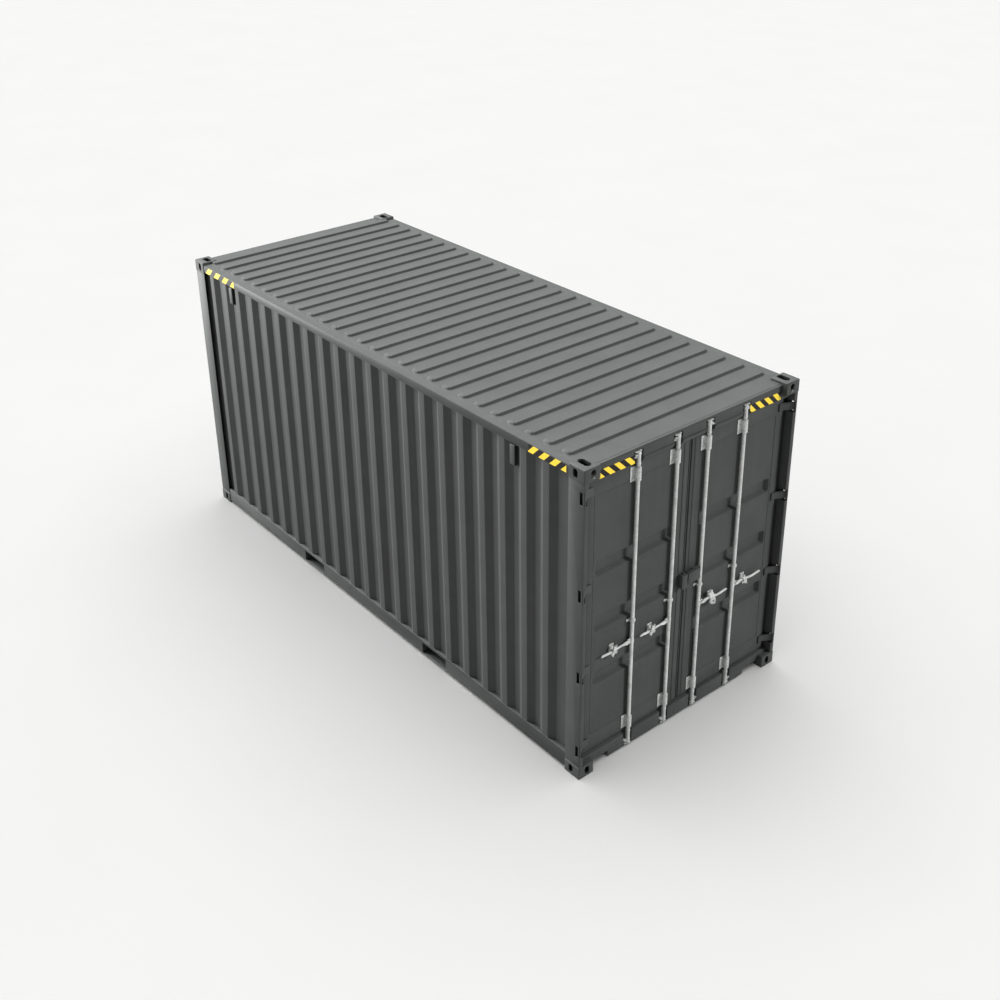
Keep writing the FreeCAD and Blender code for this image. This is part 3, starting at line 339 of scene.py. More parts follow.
def matt_studio_paper(name, tint):
    """Wide paper roll: matt and even, with the faintest cloudiness."""
    material, tree, shader, place = blank(name)
    fibres = node(tree, "TexNoise", Vector=place, Scale=0.6, Detail=2.0).outputs["Fac"]
    tone = node(
        tree, "ValToRGB", Fac=fibres, stops=((0.2, shade(tint, 0.99)), (0.8, shade(tint, 1.01)))
    ).outputs["Color"]
    feed(tree, shader, Base_Color=tone, Roughness=0.95, Specular_IOR_Level=0.1)
    return material


def finish_of(slot):
    """The material that finishes a record slot, made the first time that it is asked for."""
    colours = bpy.context.scene.container_finish
    maker, tint = {
        PAINT_SLOT: (sprayed_anthracite_enamel, colours.paint),
        ZINC_SLOT: (dip_galvanised_steel, colours.zinc),
        RUBBER_SLOT: (extruded_rubber, colours.rubber),
        BOARD_SLOT: (sealed_hardwood_board, colours.board),
    }[slot]
    return bpy.data.materials.get(maker.__name__) or maker(maker.__name__, tuple(tint))


# Mesh helpers.


def linked(name, data):
    """A new object in the scene."""
    made = bpy.data.objects.new(name, data)
    bpy.context.scene.collection.objects.link(made)
    return made


def settle(name, bm, slot, near, stands_for=(), smooth=40, material=None):
    """Turns a bmesh into a piece that rides with a CAD node and takes its finish from a slot."""
    bmesh.ops.remove_doubles(bm, verts=bm.verts, dist=1e-6)
    bmesh.ops.recalc_face_normals(bm, faces=bm.faces)
    mesh = bpy.data.meshes.new(name)
    bm.to_mesh(mesh)
    bm.free()
    for face in mesh.polygons:
        face.use_smooth = True
    mesh.set_sharp_from_angle(angle=math.radians(smooth))
    made = linked(name, mesh)
    mesh.materials.append(material or finish_of(slot))
    body = NODES[near]["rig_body"]
    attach(made, body)
    if stands_for:
        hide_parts(*stands_for)
    return made


def joint_place(name):
    """Where a joint's axis passes, at rest."""
    return Vector(next(joint for joint in frame["joints"] if joint["name"] == name)["pos_m"])


def extent(verts):
    """The two corners of the box round some vertices."""
    return [Vector([pick(vert.co[i] for vert in verts) for i in range(3)]) for pick in (min, max)]


def add_block(bm, low, high, radius, segments=2):
    """A block with rounded edges between two corners, given in any order."""
    box = bmesh.new()
    bmesh.ops.create_cube(box, size=1.0)
    low, high = (Vector(corner) for corner in zip(*map(sorted, zip(low, high))))
    size = high - low
    middle = (high + low) / 2
    for vert in box.verts:
        vert.co = Vector([vert.co[i] * size[i] for i in range(3)])
    bmesh.ops.bevel(box, geom=box.edges[:], offset=radius, segments=segments, profile=0.5, affect="EDGES")
    box.transform(Matrix.Translation(middle))
    carrier = bpy.data.meshes.new("carrier")
    box.to_mesh(carrier)
    box.free()
    bm.from_mesh(carrier)
    bpy.data.meshes.remove(carrier)


def add_rings(bm, rings, closed=False, capped=True):
    """Skins a row of rings that have the same number of points."""
    rows = [[bm.verts.new(point) for point in ring] for ring in rings]
    pairs = list(zip(rows, rows[1:])) + ([(rows[-1], rows[0])] if closed else [])
    for low, high in pairs:
        for place in range(len(low)):
            after = (place + 1) % len(low)
            bm.faces.new((low[place], low[after], high[after], high[place]))
    if capped and not closed:
        bm.faces.new(rows[0][::-1])
        bm.faces.new(rows[-1])


def circle(centre, radius, axis, count):
    """Points round a centre, in the plane across an axis."""
    ring = []
    for step in range(count):
        turn = 2 * math.pi * step / count
        point = [radius * math.cos(turn), radius * math.sin(turn)]
        point.insert("xyz".index(axis), 0)
        ring.append(centre + Vector(point))
    return ring


def add_turned(bm, centre, profile, axis="z", count=32):
    """A turned shape: profile holds (distance along the axis, radius) pairs."""
    way = Vector([float(axis == letter) for letter in "xyz"])
    add_rings(bm, [circle(centre + way * along, radius, axis, count) for along, radius in profile])


def add_ball(bm, centre, tall, wide, count):
    """A ball, or an egg that stands upright: tall and wide are its radii."""
    turns = [math.pi * step / 8 for step in range(1, 8)]
    add_turned(bm, centre, [(-tall * math.cos(t), wide * math.sin(t)) for t in turns], "z", count)


def add_bolt(bm, seat, across=0.019, tall=0.011):
    """A hexagon bolt head with its washer, on a face that looks along +X."""
    washer = [(0, across * 0.78), (0.0022, across * 0.78), (0.0028, across * 0.72)]
    add_turned(bm, Vector(seat), washer, "x", 20)
    head = [(0.0028, across * 0.55), (tall - 0.0015, across * 0.55), (tall, across * 0.46)]
    add_turned(bm, Vector(seat), head, "x", 6)


def rounded_line(points, radius, steps=4):
    """A line of (along, across) points with each corner turned into an arc."""
    line = [points[0]]
    for before, corner, after in zip(points, points[1:], points[2:]):
        b, c, a = Vector(before), Vector(corner), Vector(after)
        into, out = (c - b), (a - c)
        turn = into.angle(out, 0)
        if turn < 0.02:
            line.append(corner)
            continue
        cut = min(radius * math.tan(turn / 2), into.length * 0.45, out.length * 0.45)
        start, end = c - into.normalized() * cut, c + out.normalized() * cut
        for step in range(steps + 1):
            t = step / steps
            line.append(tuple((1 - t) ** 2 * start + 2 * t * (1 - t) * c + t * t * end))
    line.append(points[-1])
    return line


def wander(a, b):
    """A slow unevenness of flat sheet, from -1 to 1."""
    waves = math.sin(2.3 * a + 1.1) * math.sin(3.1 * b + 0.4) + math.sin(5.9 * a - 2.0 * b + 2.2) * 0.6
    return (waves + math.sin(9.7 * b + 1.7 * a) * 0.35) / 1.95


def folded_sheet(name, line, low, high, place, skin, dent, stands_for):
    """A sheet folded along upright lines. line holds (along, inward) pairs, and place turns
    (along, inward, level) into a point."""
    bm = bmesh.new()
    levels = [low + (high - low) * step / 12 for step in range(13)]
    rows = []
    for level in levels:
        edge = min(level - low, high - level) / 0.25
        hold = min(1.0, edge)
        outer = [place(a, i + dent * hold * (wander(a, level) + 1) / 2, level) for a, i in line]
        inner = [place(a, i + skin + dent * hold * (wander(a, level) + 1) / 2, level) for a, i in line]
        rows.append(outer + inner[::-1])
    add_rings(bm, rows)
    return settle(name, bm, PAINT_SLOT, stands_for, [stands_for], smooth=20)


def pressed_sheet(name, first, second, depth, place, skin, stands_for):
    """A flat sheet pressed into relief. depth(a, b) gives the relief at a point, or None where
    there is no sheet, and place turns (a, b, out) into a point."""
    bm = bmesh.new()
    faces_of = {}

    def vert(a, b, layer):
        key = (a, b, layer)
        if key not in faces_of:
            out = depth(first[a], second[b]) - skin * layer
            faces_of[key] = bm.verts.new(place(first[a], second[b], out))
        return faces_of[key]

    def filled(a, b):
        if not (0 <= a < len(first) - 1 and 0 <= b < len(second) - 1):
            return False
        return depth((first[a] + first[a + 1]) / 2, (second[b] + second[b + 1]) / 2) is not None

    for a in range(len(first) - 1):
        for b in range(len(second) - 1):
            if not filled(a, b):
                continue
            corners = ((a, b), (a + 1, b), (a + 1, b + 1), (a, b + 1))
            bm.faces.new([vert(i, j, 0) for i, j in corners])
            bm.faces.new([vert(i, j, 1) for i, j in corners[::-1]])
            beyond = ((a, b - 1), (a + 1, b), (a, b + 1), (a - 1, b))
            for (i, j), (k, m), other in zip(corners, corners[1:] + corners[:1], beyond):
                if not filled(*other):
                    bm.faces.new((vert(i, j, 0), vert(k, m, 0), vert(k, m, 1), vert(i, j, 1)))
    return settle(name, bm, PAINT_SLOT, stands_for, [stands_for], smooth=24)


def rounded_mound(a, b, half_a, half_b, run, corner):
    """1 on top of a pressing with rounded ends, 0 outside it, and smooth between."""
    over_a = abs(a) - (half_a - corner)
    over_b = abs(b) - (half_b - corner)
    outside = math.hypot(max(over_a, 0), max(over_b, 0)) + min(max(over_a, over_b), 0) - corner
    t = min(1.0, max(0.0, -outside / run))
    return t * t * (3 - 2 * t)


def spaced(marks, step):
    """The marks in order, with more points between those that are far apart."""
    marks = sorted(set(round(mark, 6) for mark in marks))
    line = [marks[0]]
    for mark in marks[1:]:
        count = max(1, math.ceil((mark - line[-1]) / step - 1e-6))
        start = line[-1]
        line += [start + (mark - start) * number / count for number in range(1, count + 1)]
    return line


def softened(node_name, radius, shortest=0.024, sharp=40, segments=2):
    """A copy of a CAD node with its long edges rounded, which stands for it."""
    source = NODES[node_name]
    slot = slot_of(node_name)
    bm = bmesh.new()
    bm.from_mesh(source.data)
    bmesh.ops.remove_doubles(bm, verts=bm.verts, dist=1e-5)
    bmesh.ops.dissolve_limit(bm, angle_limit=math.radians(0.6), verts=bm.verts, edges=bm.edges)
    limit = math.radians(sharp)
    edges = [
        edge
        for edge in bm.edges
        if edge.is_manifold and edge.calc_length() > shortest and edge.calc_face_angle(0) > limit
    ]
    bmesh.ops.bevel(
        bm, geom=edges, offset=radius, segments=segments, profile=0.5, affect="EDGES", clamp_overlap=False
    )
    return settle("rounded_" + node_name, bm, slot, node_name, [node_name], smooth=32)


def slot_of(node_name):
    """The record's slot of a CAD node."""
    for entry in frame["record"]["subparts"]:
        if entry["node"] == node_name:
            return entry["material_slot"]
    raise RuntimeError(f"{node_name} has no slot in the record")


# Operators: one for each piece or group of like pieces.


class CONTAINER_OT_roll_side_walls(bpy.types.Operator):
    """Roll the two corrugated side walls"""

    bl_idname = "container.roll_side_walls"
    bl_label = "Side walls"

    def execute(self, context):
        sizes = context.scene.container_sizes
        for side, way in SIDES:
            name = f"side_wall_{side}"
            low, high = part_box(name)
            outer = max(abs(low.y), abs(high.y))
            depth = high.y - low.y - sizes.skin
            line = self.section(sizes, high.x - low.x, depth)
            place = lambda a, i, level: Vector((low.x + a, way * (outer - i), level))
            folded_sheet(f"corrugated_{name}", line, low.z, high.z, place, sizes.skin, sizes.dent, name)
        return {"FINISHED"}

    def section(self, sizes, length, depth):
        """Valleys and crests from the blind end to the door post, with bent corners."""
        half = sizes.crest / 2 + sizes.slope
        count = int((length - sizes.lead - half) / sizes.pitch) + 1
        points = [(0.0, depth)]
        for number in range(count):
            middle = sizes.lead + number * sizes.pitch
            points += [(middle - half, depth), (middle - sizes.crest / 2, 0.0)]
            points += [(middle + sizes.crest / 2, 0.0), (middle + half, depth)]
        points.append((length, depth))
        kept = [points[0]]
        for point in points[1:]:
            if (Vector(point) - Vector(kept[-1])).length > 1e-6:
                kept.append(point)
        return rounded_line(kept, sizes.bend)


class CONTAINER_OT_roll_end_wall(bpy.types.Operator):
    """Roll the corrugated wall of the blind end"""

    bl_idname = "container.roll_end_wall"
    bl_label = "Blind end wall"

    def execute(self, context):
        sizes = context.scene.container_sizes
        low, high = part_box("front_wall")
        depth = high.x - low.x - sizes.skin
        half = high.y
        folds = int(2 * half // sizes.end_pitch)
        floor_wide = sizes.end_pitch - sizes.crest - 2 * sizes.slope
        place_y = -(folds * sizes.end_pitch - sizes.crest) / 2
        tuck = 0.003  # the sheet's edges go into the posts' welds
        points = [(-half - tuck, 0.0)]
        for _ in range(folds):
            points += [(place_y, 0.0), (place_y + sizes.slope, depth)]
            points += [(place_y + sizes.slope + floor_wide, depth)]
            points += [(place_y + 2 * sizes.slope + floor_wide, 0.0)]
            place_y += sizes.end_pitch
        points.append((half + tuck, 0.0))
        line = rounded_line(points, sizes.bend)
        place = lambda a, i, level: Vector((low.x + i, a, level))
        folded_sheet("corrugated_end_wall", line, low.z, high.z, place, sizes.skin, sizes.dent, "front_wall")
        return {"FINISHED"}


class CONTAINER_OT_press_roof(bpy.types.Operator):
    """Press the roof sheet with its row of round-ended ribs"""

    bl_idname = "container.press_roof"
    bl_label = "Roof"

    def execute(self, context):
        sizes = context.scene.container_sizes
        low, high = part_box("roof_panel")
        end, side = CAD_BOX[1].x, CAD_BOX[1].y
        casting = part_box("corner_casting_rear_right_top")[0]
        reach = side - sizes.rib_margin
        half = sizes.rib_wide / 2
        count = int((end - sizes.rib_start - half - low.x) // sizes.rib_pitch) + 1
        middles = [end - sizes.rib_start - half - number * sizes.rib_pitch for number in range(count)]
        steps = (-half, -half + 0.005, -half + 0.01, -half + sizes.rib_run, -half + 0.028, half - 0.028)
        steps += (half - sizes.rib_run, half - 0.01, half - 0.005, half)
        marks = [m + step for m in middles for step in steps]
        ends = [low.x, high.x, casting.x, -casting.x]
        first = spaced([mark for mark in marks + ends if low.x <= mark <= high.x], 0.06)
        rounds = [reach - step for step in (0, 0.004, 0.009, 0.014, 0.02, 0.028, 0.036, 0.046, 0.058, 0.075)]
        margins = [high.y, casting.y, side - sizes.rib_margin + 0.004]
        second = spaced([way * mark for mark in rounds + margins for way in (-1, 1)], 0.22)
        top = high.z - sizes.rib_tall

        def depth(a, b):
            if abs(b) > casting.y + 1e-5 and abs(a) > casting.x + 1e-5:
                return None
            nearest = min(middles, key=lambda middle: abs(a - middle))
            rib = rounded_mound(a - nearest, b, half, reach, sizes.rib_run, 0.052)
            dip = 0.0 if rib else -sizes.dent * 0.6 * abs(wander(a, b))
            return top + sizes.rib_tall * rib + dip * min(1, (casting.y + 0.06 - abs(b)) / 0.3)

        place = lambda a, b, out: Vector((a, b, out))
        pressed_sheet("pressed_roof", first, second, depth, place, sizes.skin, "roof_panel")
        return {"FINISHED"}


class CONTAINER_OT_press_doors(bpy.types.Operator):
    """Press the sheet of each door with its three closed grooves"""

    bl_idname = "container.press_doors"
    bl_label = "Door sheets"

    def execute(self, context):
        sizes = context.scene.container_sizes
        for side, _ in SIDES:
            self.press(sizes, side)
        return {"FINISHED"}

    def press(self, sizes, side):
        name = f"door_panel_{side}"
        low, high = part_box(name)
        half_tall = sizes.groove_tall / 2
        half_wide = (high.y - low.y) / 2 - sizes.groove_margin
        middle = (high.y + low.y) / 2
        levels = [sizes.groove_low + number * sizes.groove_spacing for number in range(3)]
        shares = (0, 0.12, 0.28, 0.5, 0.72, 0.88, 1)
        rise = [sizes.groove_run * share for share in shares]
        marks = [level + way * (half_tall - step) for level in levels for step in rise for way in (-1, 1)]
        first = spaced(marks + [low.z, high.z], 0.07)
        marks = [middle + way * (half_wide - step) for step in rise for way in (-1, 1)]
        second = spaced(marks + [low.y, high.y], 0.08)

        def depth(a, b):
            nearest = min(levels, key=lambda level: abs(a - level))
            mound = rounded_mound(a - nearest, b - middle, half_tall, half_wide, sizes.groove_run, 0.03)
            edge = min(a - low.z, high.z - a, b - low.y, high.y - b)
            flat = sizes.dent * (1 + wander(a, b)) / 2 * max(0.0, min(1.0, edge / 0.15))
            return high.x - sizes.groove_deep * mound - flat

        place = lambda a, b, out: Vector((out, b, a))
        pressed_sheet(f"pressed_{name}", first, second, depth, place, sizes.skin, name)


class CONTAINER_OT_soften_frame(bpy.types.Operator):
    """Round the edges of castings, posts, rails, door frames, hinges and the other heavy steel"""

    bl_idname = "container.soften_frame"
    bl_label = "Frame"

    def execute(self, context):
        for name in sorted(NODES):
            if name.startswith("corner_casting"):
                self.blacken(context, softened(name, 0.007, shortest=0.03, segments=3))
            elif name.startswith(("rear_post", "front_post", "top_side_rail")):
                softened(name, 0.003)
            elif name.startswith(("bottom_side_rail", "front_bottom_rail", "front_top_rail")):
                softened(name, 0.002)
            elif name in ("door_header", "door_sill"):
                softened(name, 0.0018)
            elif name.startswith("door_frame"):
                softened(name, 0.0035)
            elif name.startswith(("hinge_blades", "cam_keepers")):
                softened(name, 0.0015, shortest=0.01)
            elif name.startswith(("fork_pocket", "door_seal")):
                softened(name, 0.0012)
        return {"FINISHED"}

    def blacken(self, context, casting):
        """Paints shade inside a casting: faces more than 11 mm in from its outer box take the near-black
        material.
        """
        mesh = casting.data
        scale = tuple(context.scene.container_finish.scale)
        name = "sand_cast_steel"
        mesh.materials.append(bpy.data.materials.get(name) or sand_cast_steel(name, scale))
        low, high = extent(mesh.vertices)
        # painted shade on the faces deep inside the casting, seen through its holes
        for face in mesh.polygons:
            if all(low[i] + 0.011 < face.center[i] < high[i] - 0.011 for i in range(3)):
                face.material_index = 1


class CONTAINER_OT_forge_rods(bpy.types.Operator):
    """Turn the lock rods, with a forged cam at each end and the hub that takes the handle"""

    bl_idname = "container.forge_rods"
    bl_label = "Lock rods"

    def execute(self, context):
        for name, way in RODS:
            self.forge(name, way)
        return {"FINISHED"}

    def forge(self, name, way):
        cad = f"lock_rod_{name}"
        low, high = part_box(cad)
        handle_low, handle_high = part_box(f"handle_{name}")
        axis = joint_place(f"{name}_rod_turn")
        axis.z = 0
        level = (handle_low.z + handle_high.z) / 2
        bm = bmesh.new()
        shaft = 0.0168
        add_turned(bm, axis, self.profile(low.z, high.z, shaft), count=40)
        # each cam: two teeth that hook behind the keeper's shelves, each with a spur behind it
        for foot, rise in ((low.z, 1), (high.z, -1)):
            for step in (0.0, 0.028):
                middle = foot + rise * (0.004 + step)
                self.tooth(bm, axis, way, middle, 0.042)
                self.tooth(bm, axis, -way, middle - rise * 0.002, 0.027)
        # hub and ear that carry the handle's rivet
        add_turned(bm, axis, self.ring(level - 0.022, level + 0.022, shaft, 0.019, 0.001), count=32)
        back = handle_low.x - 0.010
        rivet_y = joint_place(f"{name}_handle_lift").y
        ear = (axis.y + way * 0.004, rivet_y + way * 0.012)
        add_block(bm, (back, ear[0], level - 0.024), (back + 0.008, ear[1], level + 0.024), 0.003)
        rivet = Vector((back, rivet_y, level))
        thick = handle_high.x - back
        add_turned(bm, rivet, [(0, 0.0058), (thick - 0.0016, 0.0058), (thick - 0.0004, 0.0044)], "x", 20)
        settle(f"forged_{cad}", bm, ZINC_SLOT, cad, [cad])

    def profile(self, low, high, shaft):
        """Radii up the rod: a swollen forging at each end, then plain tube."""
        grip = 0.0187
        foot = [(low, 0.0125), (low + 0.002, 0.0165), (low + 0.05, 0.0168), (low + 0.062, shaft)]
        head = [(0.062, shaft), (0.05, 0.0168), (0.002, 0.0165), (0, 0.0125)]
        rings = self.ring(low + 0.125, low + 0.141, shaft, grip, 0.003)
        rings += self.ring(high - 0.118, high - 0.102, shaft, grip, 0.003)
        return foot + rings + [(high - along, radius) for along, radius in head]

    def ring(self, low, high, shaft, wide, slope):
        """A collar on a rod, with sloping ends."""
        return [(low, shaft), (low + slope, wide), (high - slope, wide), (high, shaft)]

    def tooth(self, bm, axis, way, middle, reach):
        """A cam tooth: it tapers outward and its nose is rounded."""
        rings = []
        for share in (0.0, 0.35, 0.7, 0.88, 0.97, 1.0):
            wide = 0.0155 * (1 - 0.25 * share ** 2) if share < 0.9 else 0.0105 * (1.6 - 0.75 * share)
            half, tall = wide / 2, 0.0038 if share < 0.95 else 0.0026
            y = axis.y + way * reach * share
            corners = ((-half, -tall), (half, -tall), (half, tall), (-half, tall))
            rings.append([Vector((axis.x + x, y, middle + z)) for x, z in corners])
        add_rings(bm, rings)


class CONTAINER_OT_forge_handles(bpy.types.Operator):
    """Forge the four lifting handles: an eye at the rivet, a waisted neck and a flat grip"""

    bl_idname = "container.forge_handles"
    bl_label = "Handles"

    def execute(self, context):
        for name, way in RODS:
            self.forge(name, way)
        return {"FINISHED"}

    def forge(self, name, way):
        cad = f"handle_{name}"
        low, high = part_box(cad)
        eye = joint_place(f"{name}_handle_lift")
        eye.x = low.x
        far = high.y if way > 0 else -low.y
        length = far - abs(eye.y)
        thick = high.x - low.x
        bm = bmesh.new()
        # the eye is a turned ring round the rivet
        outer, inner = 0.0128, 0.0061
        edge, back = 0.0006, thick - 0.0006
        ring = [(edge, outer - 0.001), (0.0016, outer), (thick - 0.0016, outer), (back, outer - 0.001)]
        hole = [(back, inner + edge), (thick - 0.0012, inner), (0.0012, inner), (edge, inner + edge)]
        rings = [circle(eye + Vector((along, 0, 0)), radius, "x", 28) for along, radius in ring + hole]
        add_rings(bm, rings, closed=True)
        sway = 0.008 if way > 0 else 0.005
        rows = []
        for step in range(25):
            share = step / 24
            y = abs(eye.y) + 0.0105 + (length - 0.0108) * share
            bend = sway * math.sin(2 * math.pi * min(1, share * 1.15)) * (1 - share * 0.3)
            # the neck swells to the eye and is waisted after it
            swell, waist = (share - 0.05) / 0.09, (share - 0.28) / 0.1
            tall = 0.0125 + 0.0075 * math.exp(-(swell**2)) - 0.002 * math.exp(-(waist**2))
            if share > 0.93:
                tall *= math.sqrt(max(0.06, 1 - ((share - 0.93) / 0.07) ** 2))
            half = thick / 2 - 0.0004
            chamfer = min(0.003, tall * 0.4)
            brow, flank = half - chamfer, tall - chamfer
            section = ((-half, -flank), (-brow, -tall), (brow, -tall), (half, -flank))
            section += ((half, flank), (brow, tall), (-brow, tall), (-half, flank))
            rows.append([Vector((eye.x + thick / 2 + x, way * y, eye.z + bend + z)) for x, z in section])
        add_rings(bm, rows)
        settle(f"forged_{cad}", bm, ZINC_SLOT, cad, [cad])


class CONTAINER_OT_fit_catches(bpy.types.Operator):
    """Fit the catches that the handles rest in, and the retainer that hangs on each handle"""

    bl_idname = "container.fit_catches"
    bl_label = "Handle catches"

    def execute(self, context):
        for side, way in SIDES:
            self.plates(side)
        for name, way in RODS:
            self.retainer(name, way)
        return {"FINISHED"}

    def islands(self, name):
        """The box of each solid of a CAD node, in order along Y."""
        bm = bmesh.new()
        bm.from_mesh(NODES[name].data)
        bmesh.ops.remove_doubles(bm, verts=bm.verts, dist=1e-5)
        left = set(bm.verts)
        boxes = []
        while left:
            group, edge = set(), [left.pop()]
            while edge:
                vert = edge.pop()
                group.add(vert)
                for link in vert.link_edges:
                    other = link.other_vert(vert)
                    if other in left:
                        left.discard(other)
                        edge.append(other)
            boxes.append(extent(group))
        bm.free()
        return sorted(boxes, key=lambda box: box[0].y)

    def plates(self, side):
        name = f"handle_catches_{side}"
        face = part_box(f"door_frame_{side}")[1].x
        bm = bmesh.new()
        for low, high in self.islands(name):
            front = high.x
            plate = face + 0.004
            add_block(bm, (low.x, low.y, low.z), (plate, high.y, high.z), 0.0012)
            middle = (low.y + high.y) / 2
            ledge = 0.0125
            add_block(bm, (face, middle - ledge, low.z), (front, middle + ledge, low.z + 0.006), 0.0018)
            # a rib each side stiffens the ledge, under the handle
            for y in (middle - ledge, middle + ledge - 0.004):
                add_block(bm, (face, y, low.z), (front - 0.006, y + 0.004, low.z + 0.0062), 0.001)
            for y in (low.y + 0.011, high.y - 0.011):
                add_bolt(bm, (plate - 0.0005, y, high.z - 0.014), across=0.011, tall=0.008)
        settle(f"bolted_{name}", bm, ZINC_SLOT, name, [name])

    def retainer(self, name, way):
        """A bent strap over the handle, with the eye that a seal goes through."""
        side = name.split("_")[0]
        handle_low, handle_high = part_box(f"handle_{name}")
        level = (handle_low.z + handle_high.z) / 2
        boxes = self.islands(f"handle_catches_{side}")
        near = min(boxes, key=lambda box: self.from_middle(box, handle_low, handle_high))
        middle = (near[0].y + near[1].y) / 2
        front = handle_high.x
        large = name == "right_inner"
        tall = 0.078 if large else 0.048
        wide = 0.030 if large else 0.019
        lean = Matrix.Rotation(math.radians(way * 22), 4, "X")
        bm = bmesh.new()
        # the strap is pinched over the handle and swells to a knuckle above and below it
        rings = []
        for step in range(15):
            rise = tall * (step / 7 - 1)
            swell = 0.62 + 0.38 * abs(math.sin(math.pi * (step / 14) * 2.5)) ** 0.7
            half = wide * swell * (0.55 if step in (0, 14) else 1)
            out = 0.0062 * math.exp(-(rise / 0.02) ** 2) + 0.0042
            section = ((0, -half), (out, -half * 0.86), (out, half * 0.86), (0, half))
            places = [(Vector((front + x, middle, level)), Vector((0, y, rise))) for x, y in section]
            rings.append([centre + lean @ reach for centre, reach in places])
        add_rings(bm, rings)
        for rise, across in ((1.02, 0.0085), (-0.95, 0.0068), (0.0, 0.0078)):
            seat = Vector((front + 0.006, middle, level)) + lean @ Vector((0, 0, tall * rise))
            radius = across * (1.25 if large else 1)
            add_ball(bm, seat, radius, radius, 14)
        # the seal's eye hangs beside the strap
        eye = Vector((front + 0.001, middle - way * 0.022, level - 0.020))
        parts = ((0, 0.012), (0.0045, 0.012), (0.0045, 0.0065), (0, 0.0065))
        add_rings(bm, [circle(eye + Vector((x, 0, 0)), r, "x", 20) for x, r in parts], closed=True)
        if large:
            # a wire seal's twisted tails, bunched under the strap
            for offset, drop in ((-0.032, 0.026), (-0.016, 0.042), (0.002, 0.050), (0.020, 0.040)):
                foot = Vector((front + 0.0105, middle + offset, level - drop))
                add_ball(bm, foot, 0.0095, 0.0095, 14)
                tail = [(0, 0.003), (0.004, 0.0062), (0.02, 0.0056)]
                add_turned(bm, foot - Vector((0, 0, 0.020)), tail, "z", 12)
        settle(f"seal_retainer_{name}", bm, ZINC_SLOT, f"handle_{name}")

    def from_middle(self, box, low, high):
        """How far a catch is from the stretch of a handle, and from its middle within it."""
        middle = (box[0].y + box[1].y) / 2
        if low.y < middle < high.y:
            return abs(middle - (low.y + high.y) / 2)
        return 1 + abs(middle - (low.y + high.y) / 2)


class CONTAINER_OT_fit_bearings(bpy.types.Operator):
    """Bolt the brackets that hold the lock rods to the doors"""

    bl_idname = "container.fit_bearings"
    bl_label = "Rod bearings"
    # from a bearing's end to its middle, the level of the small middle guides, a sleeve's radius
    half_bearing, guide_level, sleeve_wide = 0.065, 1.290, 0.0245

    def execute(self, context):
        for side, way in SIDES:
            name = f"rod_bearings_{side}"
            softened(name, 0.0016, shortest=0.012)
            low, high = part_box(name)
            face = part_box(f"door_frame_{side}")[1].x + 0.0048
            bm = bmesh.new()
            for rod, rod_way in RODS:
                if rod_way != way:
                    continue
                rod_x, axis, _ = joint_place(f"{rod}_rod_turn")
                for level in (low.z + self.half_bearing, high.z - self.half_bearing):
                    for rise in (-0.042, 0.042):
                        add_bolt(bm, (face, axis - 0.044, level + rise), across=0.012, tall=0.009)
                    self.sleeve(bm, Vector((rod_x, axis, level)), 0.061, self.sleeve_wide, 5)
                level = self.guide_level
                self.sleeve(bm, Vector((rod_x, axis, level)), 0.015, self.sleeve_wide, 1)
                near, far = (face - 0.005, axis - 0.052), (face + 0.002, axis - 0.018)
                add_block(bm, (*near, level - 0.012), (*far, level + 0.012), 0.0015)
                add_bolt(bm, (face + 0.0015, axis - 0.040, level), across=0.009, tall=0.007)
            settle(f"bearing_bolts_{side}", bm, ZINC_SLOT, name)
        return {"FINISHED"}

    def sleeve(self, bm, middle, half, radius, ribs):
        """A bored block round a rod, with raised ribs where its two halves are pressed together."""
        bore = radius - 0.0068
        outer = [(-half, radius - 0.002)]
        for number in range(ribs):
            rise = -half + 2 * half * (number + 0.5) / ribs
            wide = half / ribs * 0.55
            outer += [(rise - wide, radius - 0.001), (rise - wide * 0.5, radius + 0.0016)]
            outer += [(rise + wide * 0.5, radius + 0.0016), (rise + wide, radius - 0.001)]
        outer += [(half, radius - 0.002), (half, bore), (-half, bore)]
        rings = [circle(middle + Vector((0, 0, along)), wide, "z", 28) for along, wide in outer]
        add_rings(bm, rings, closed=True)


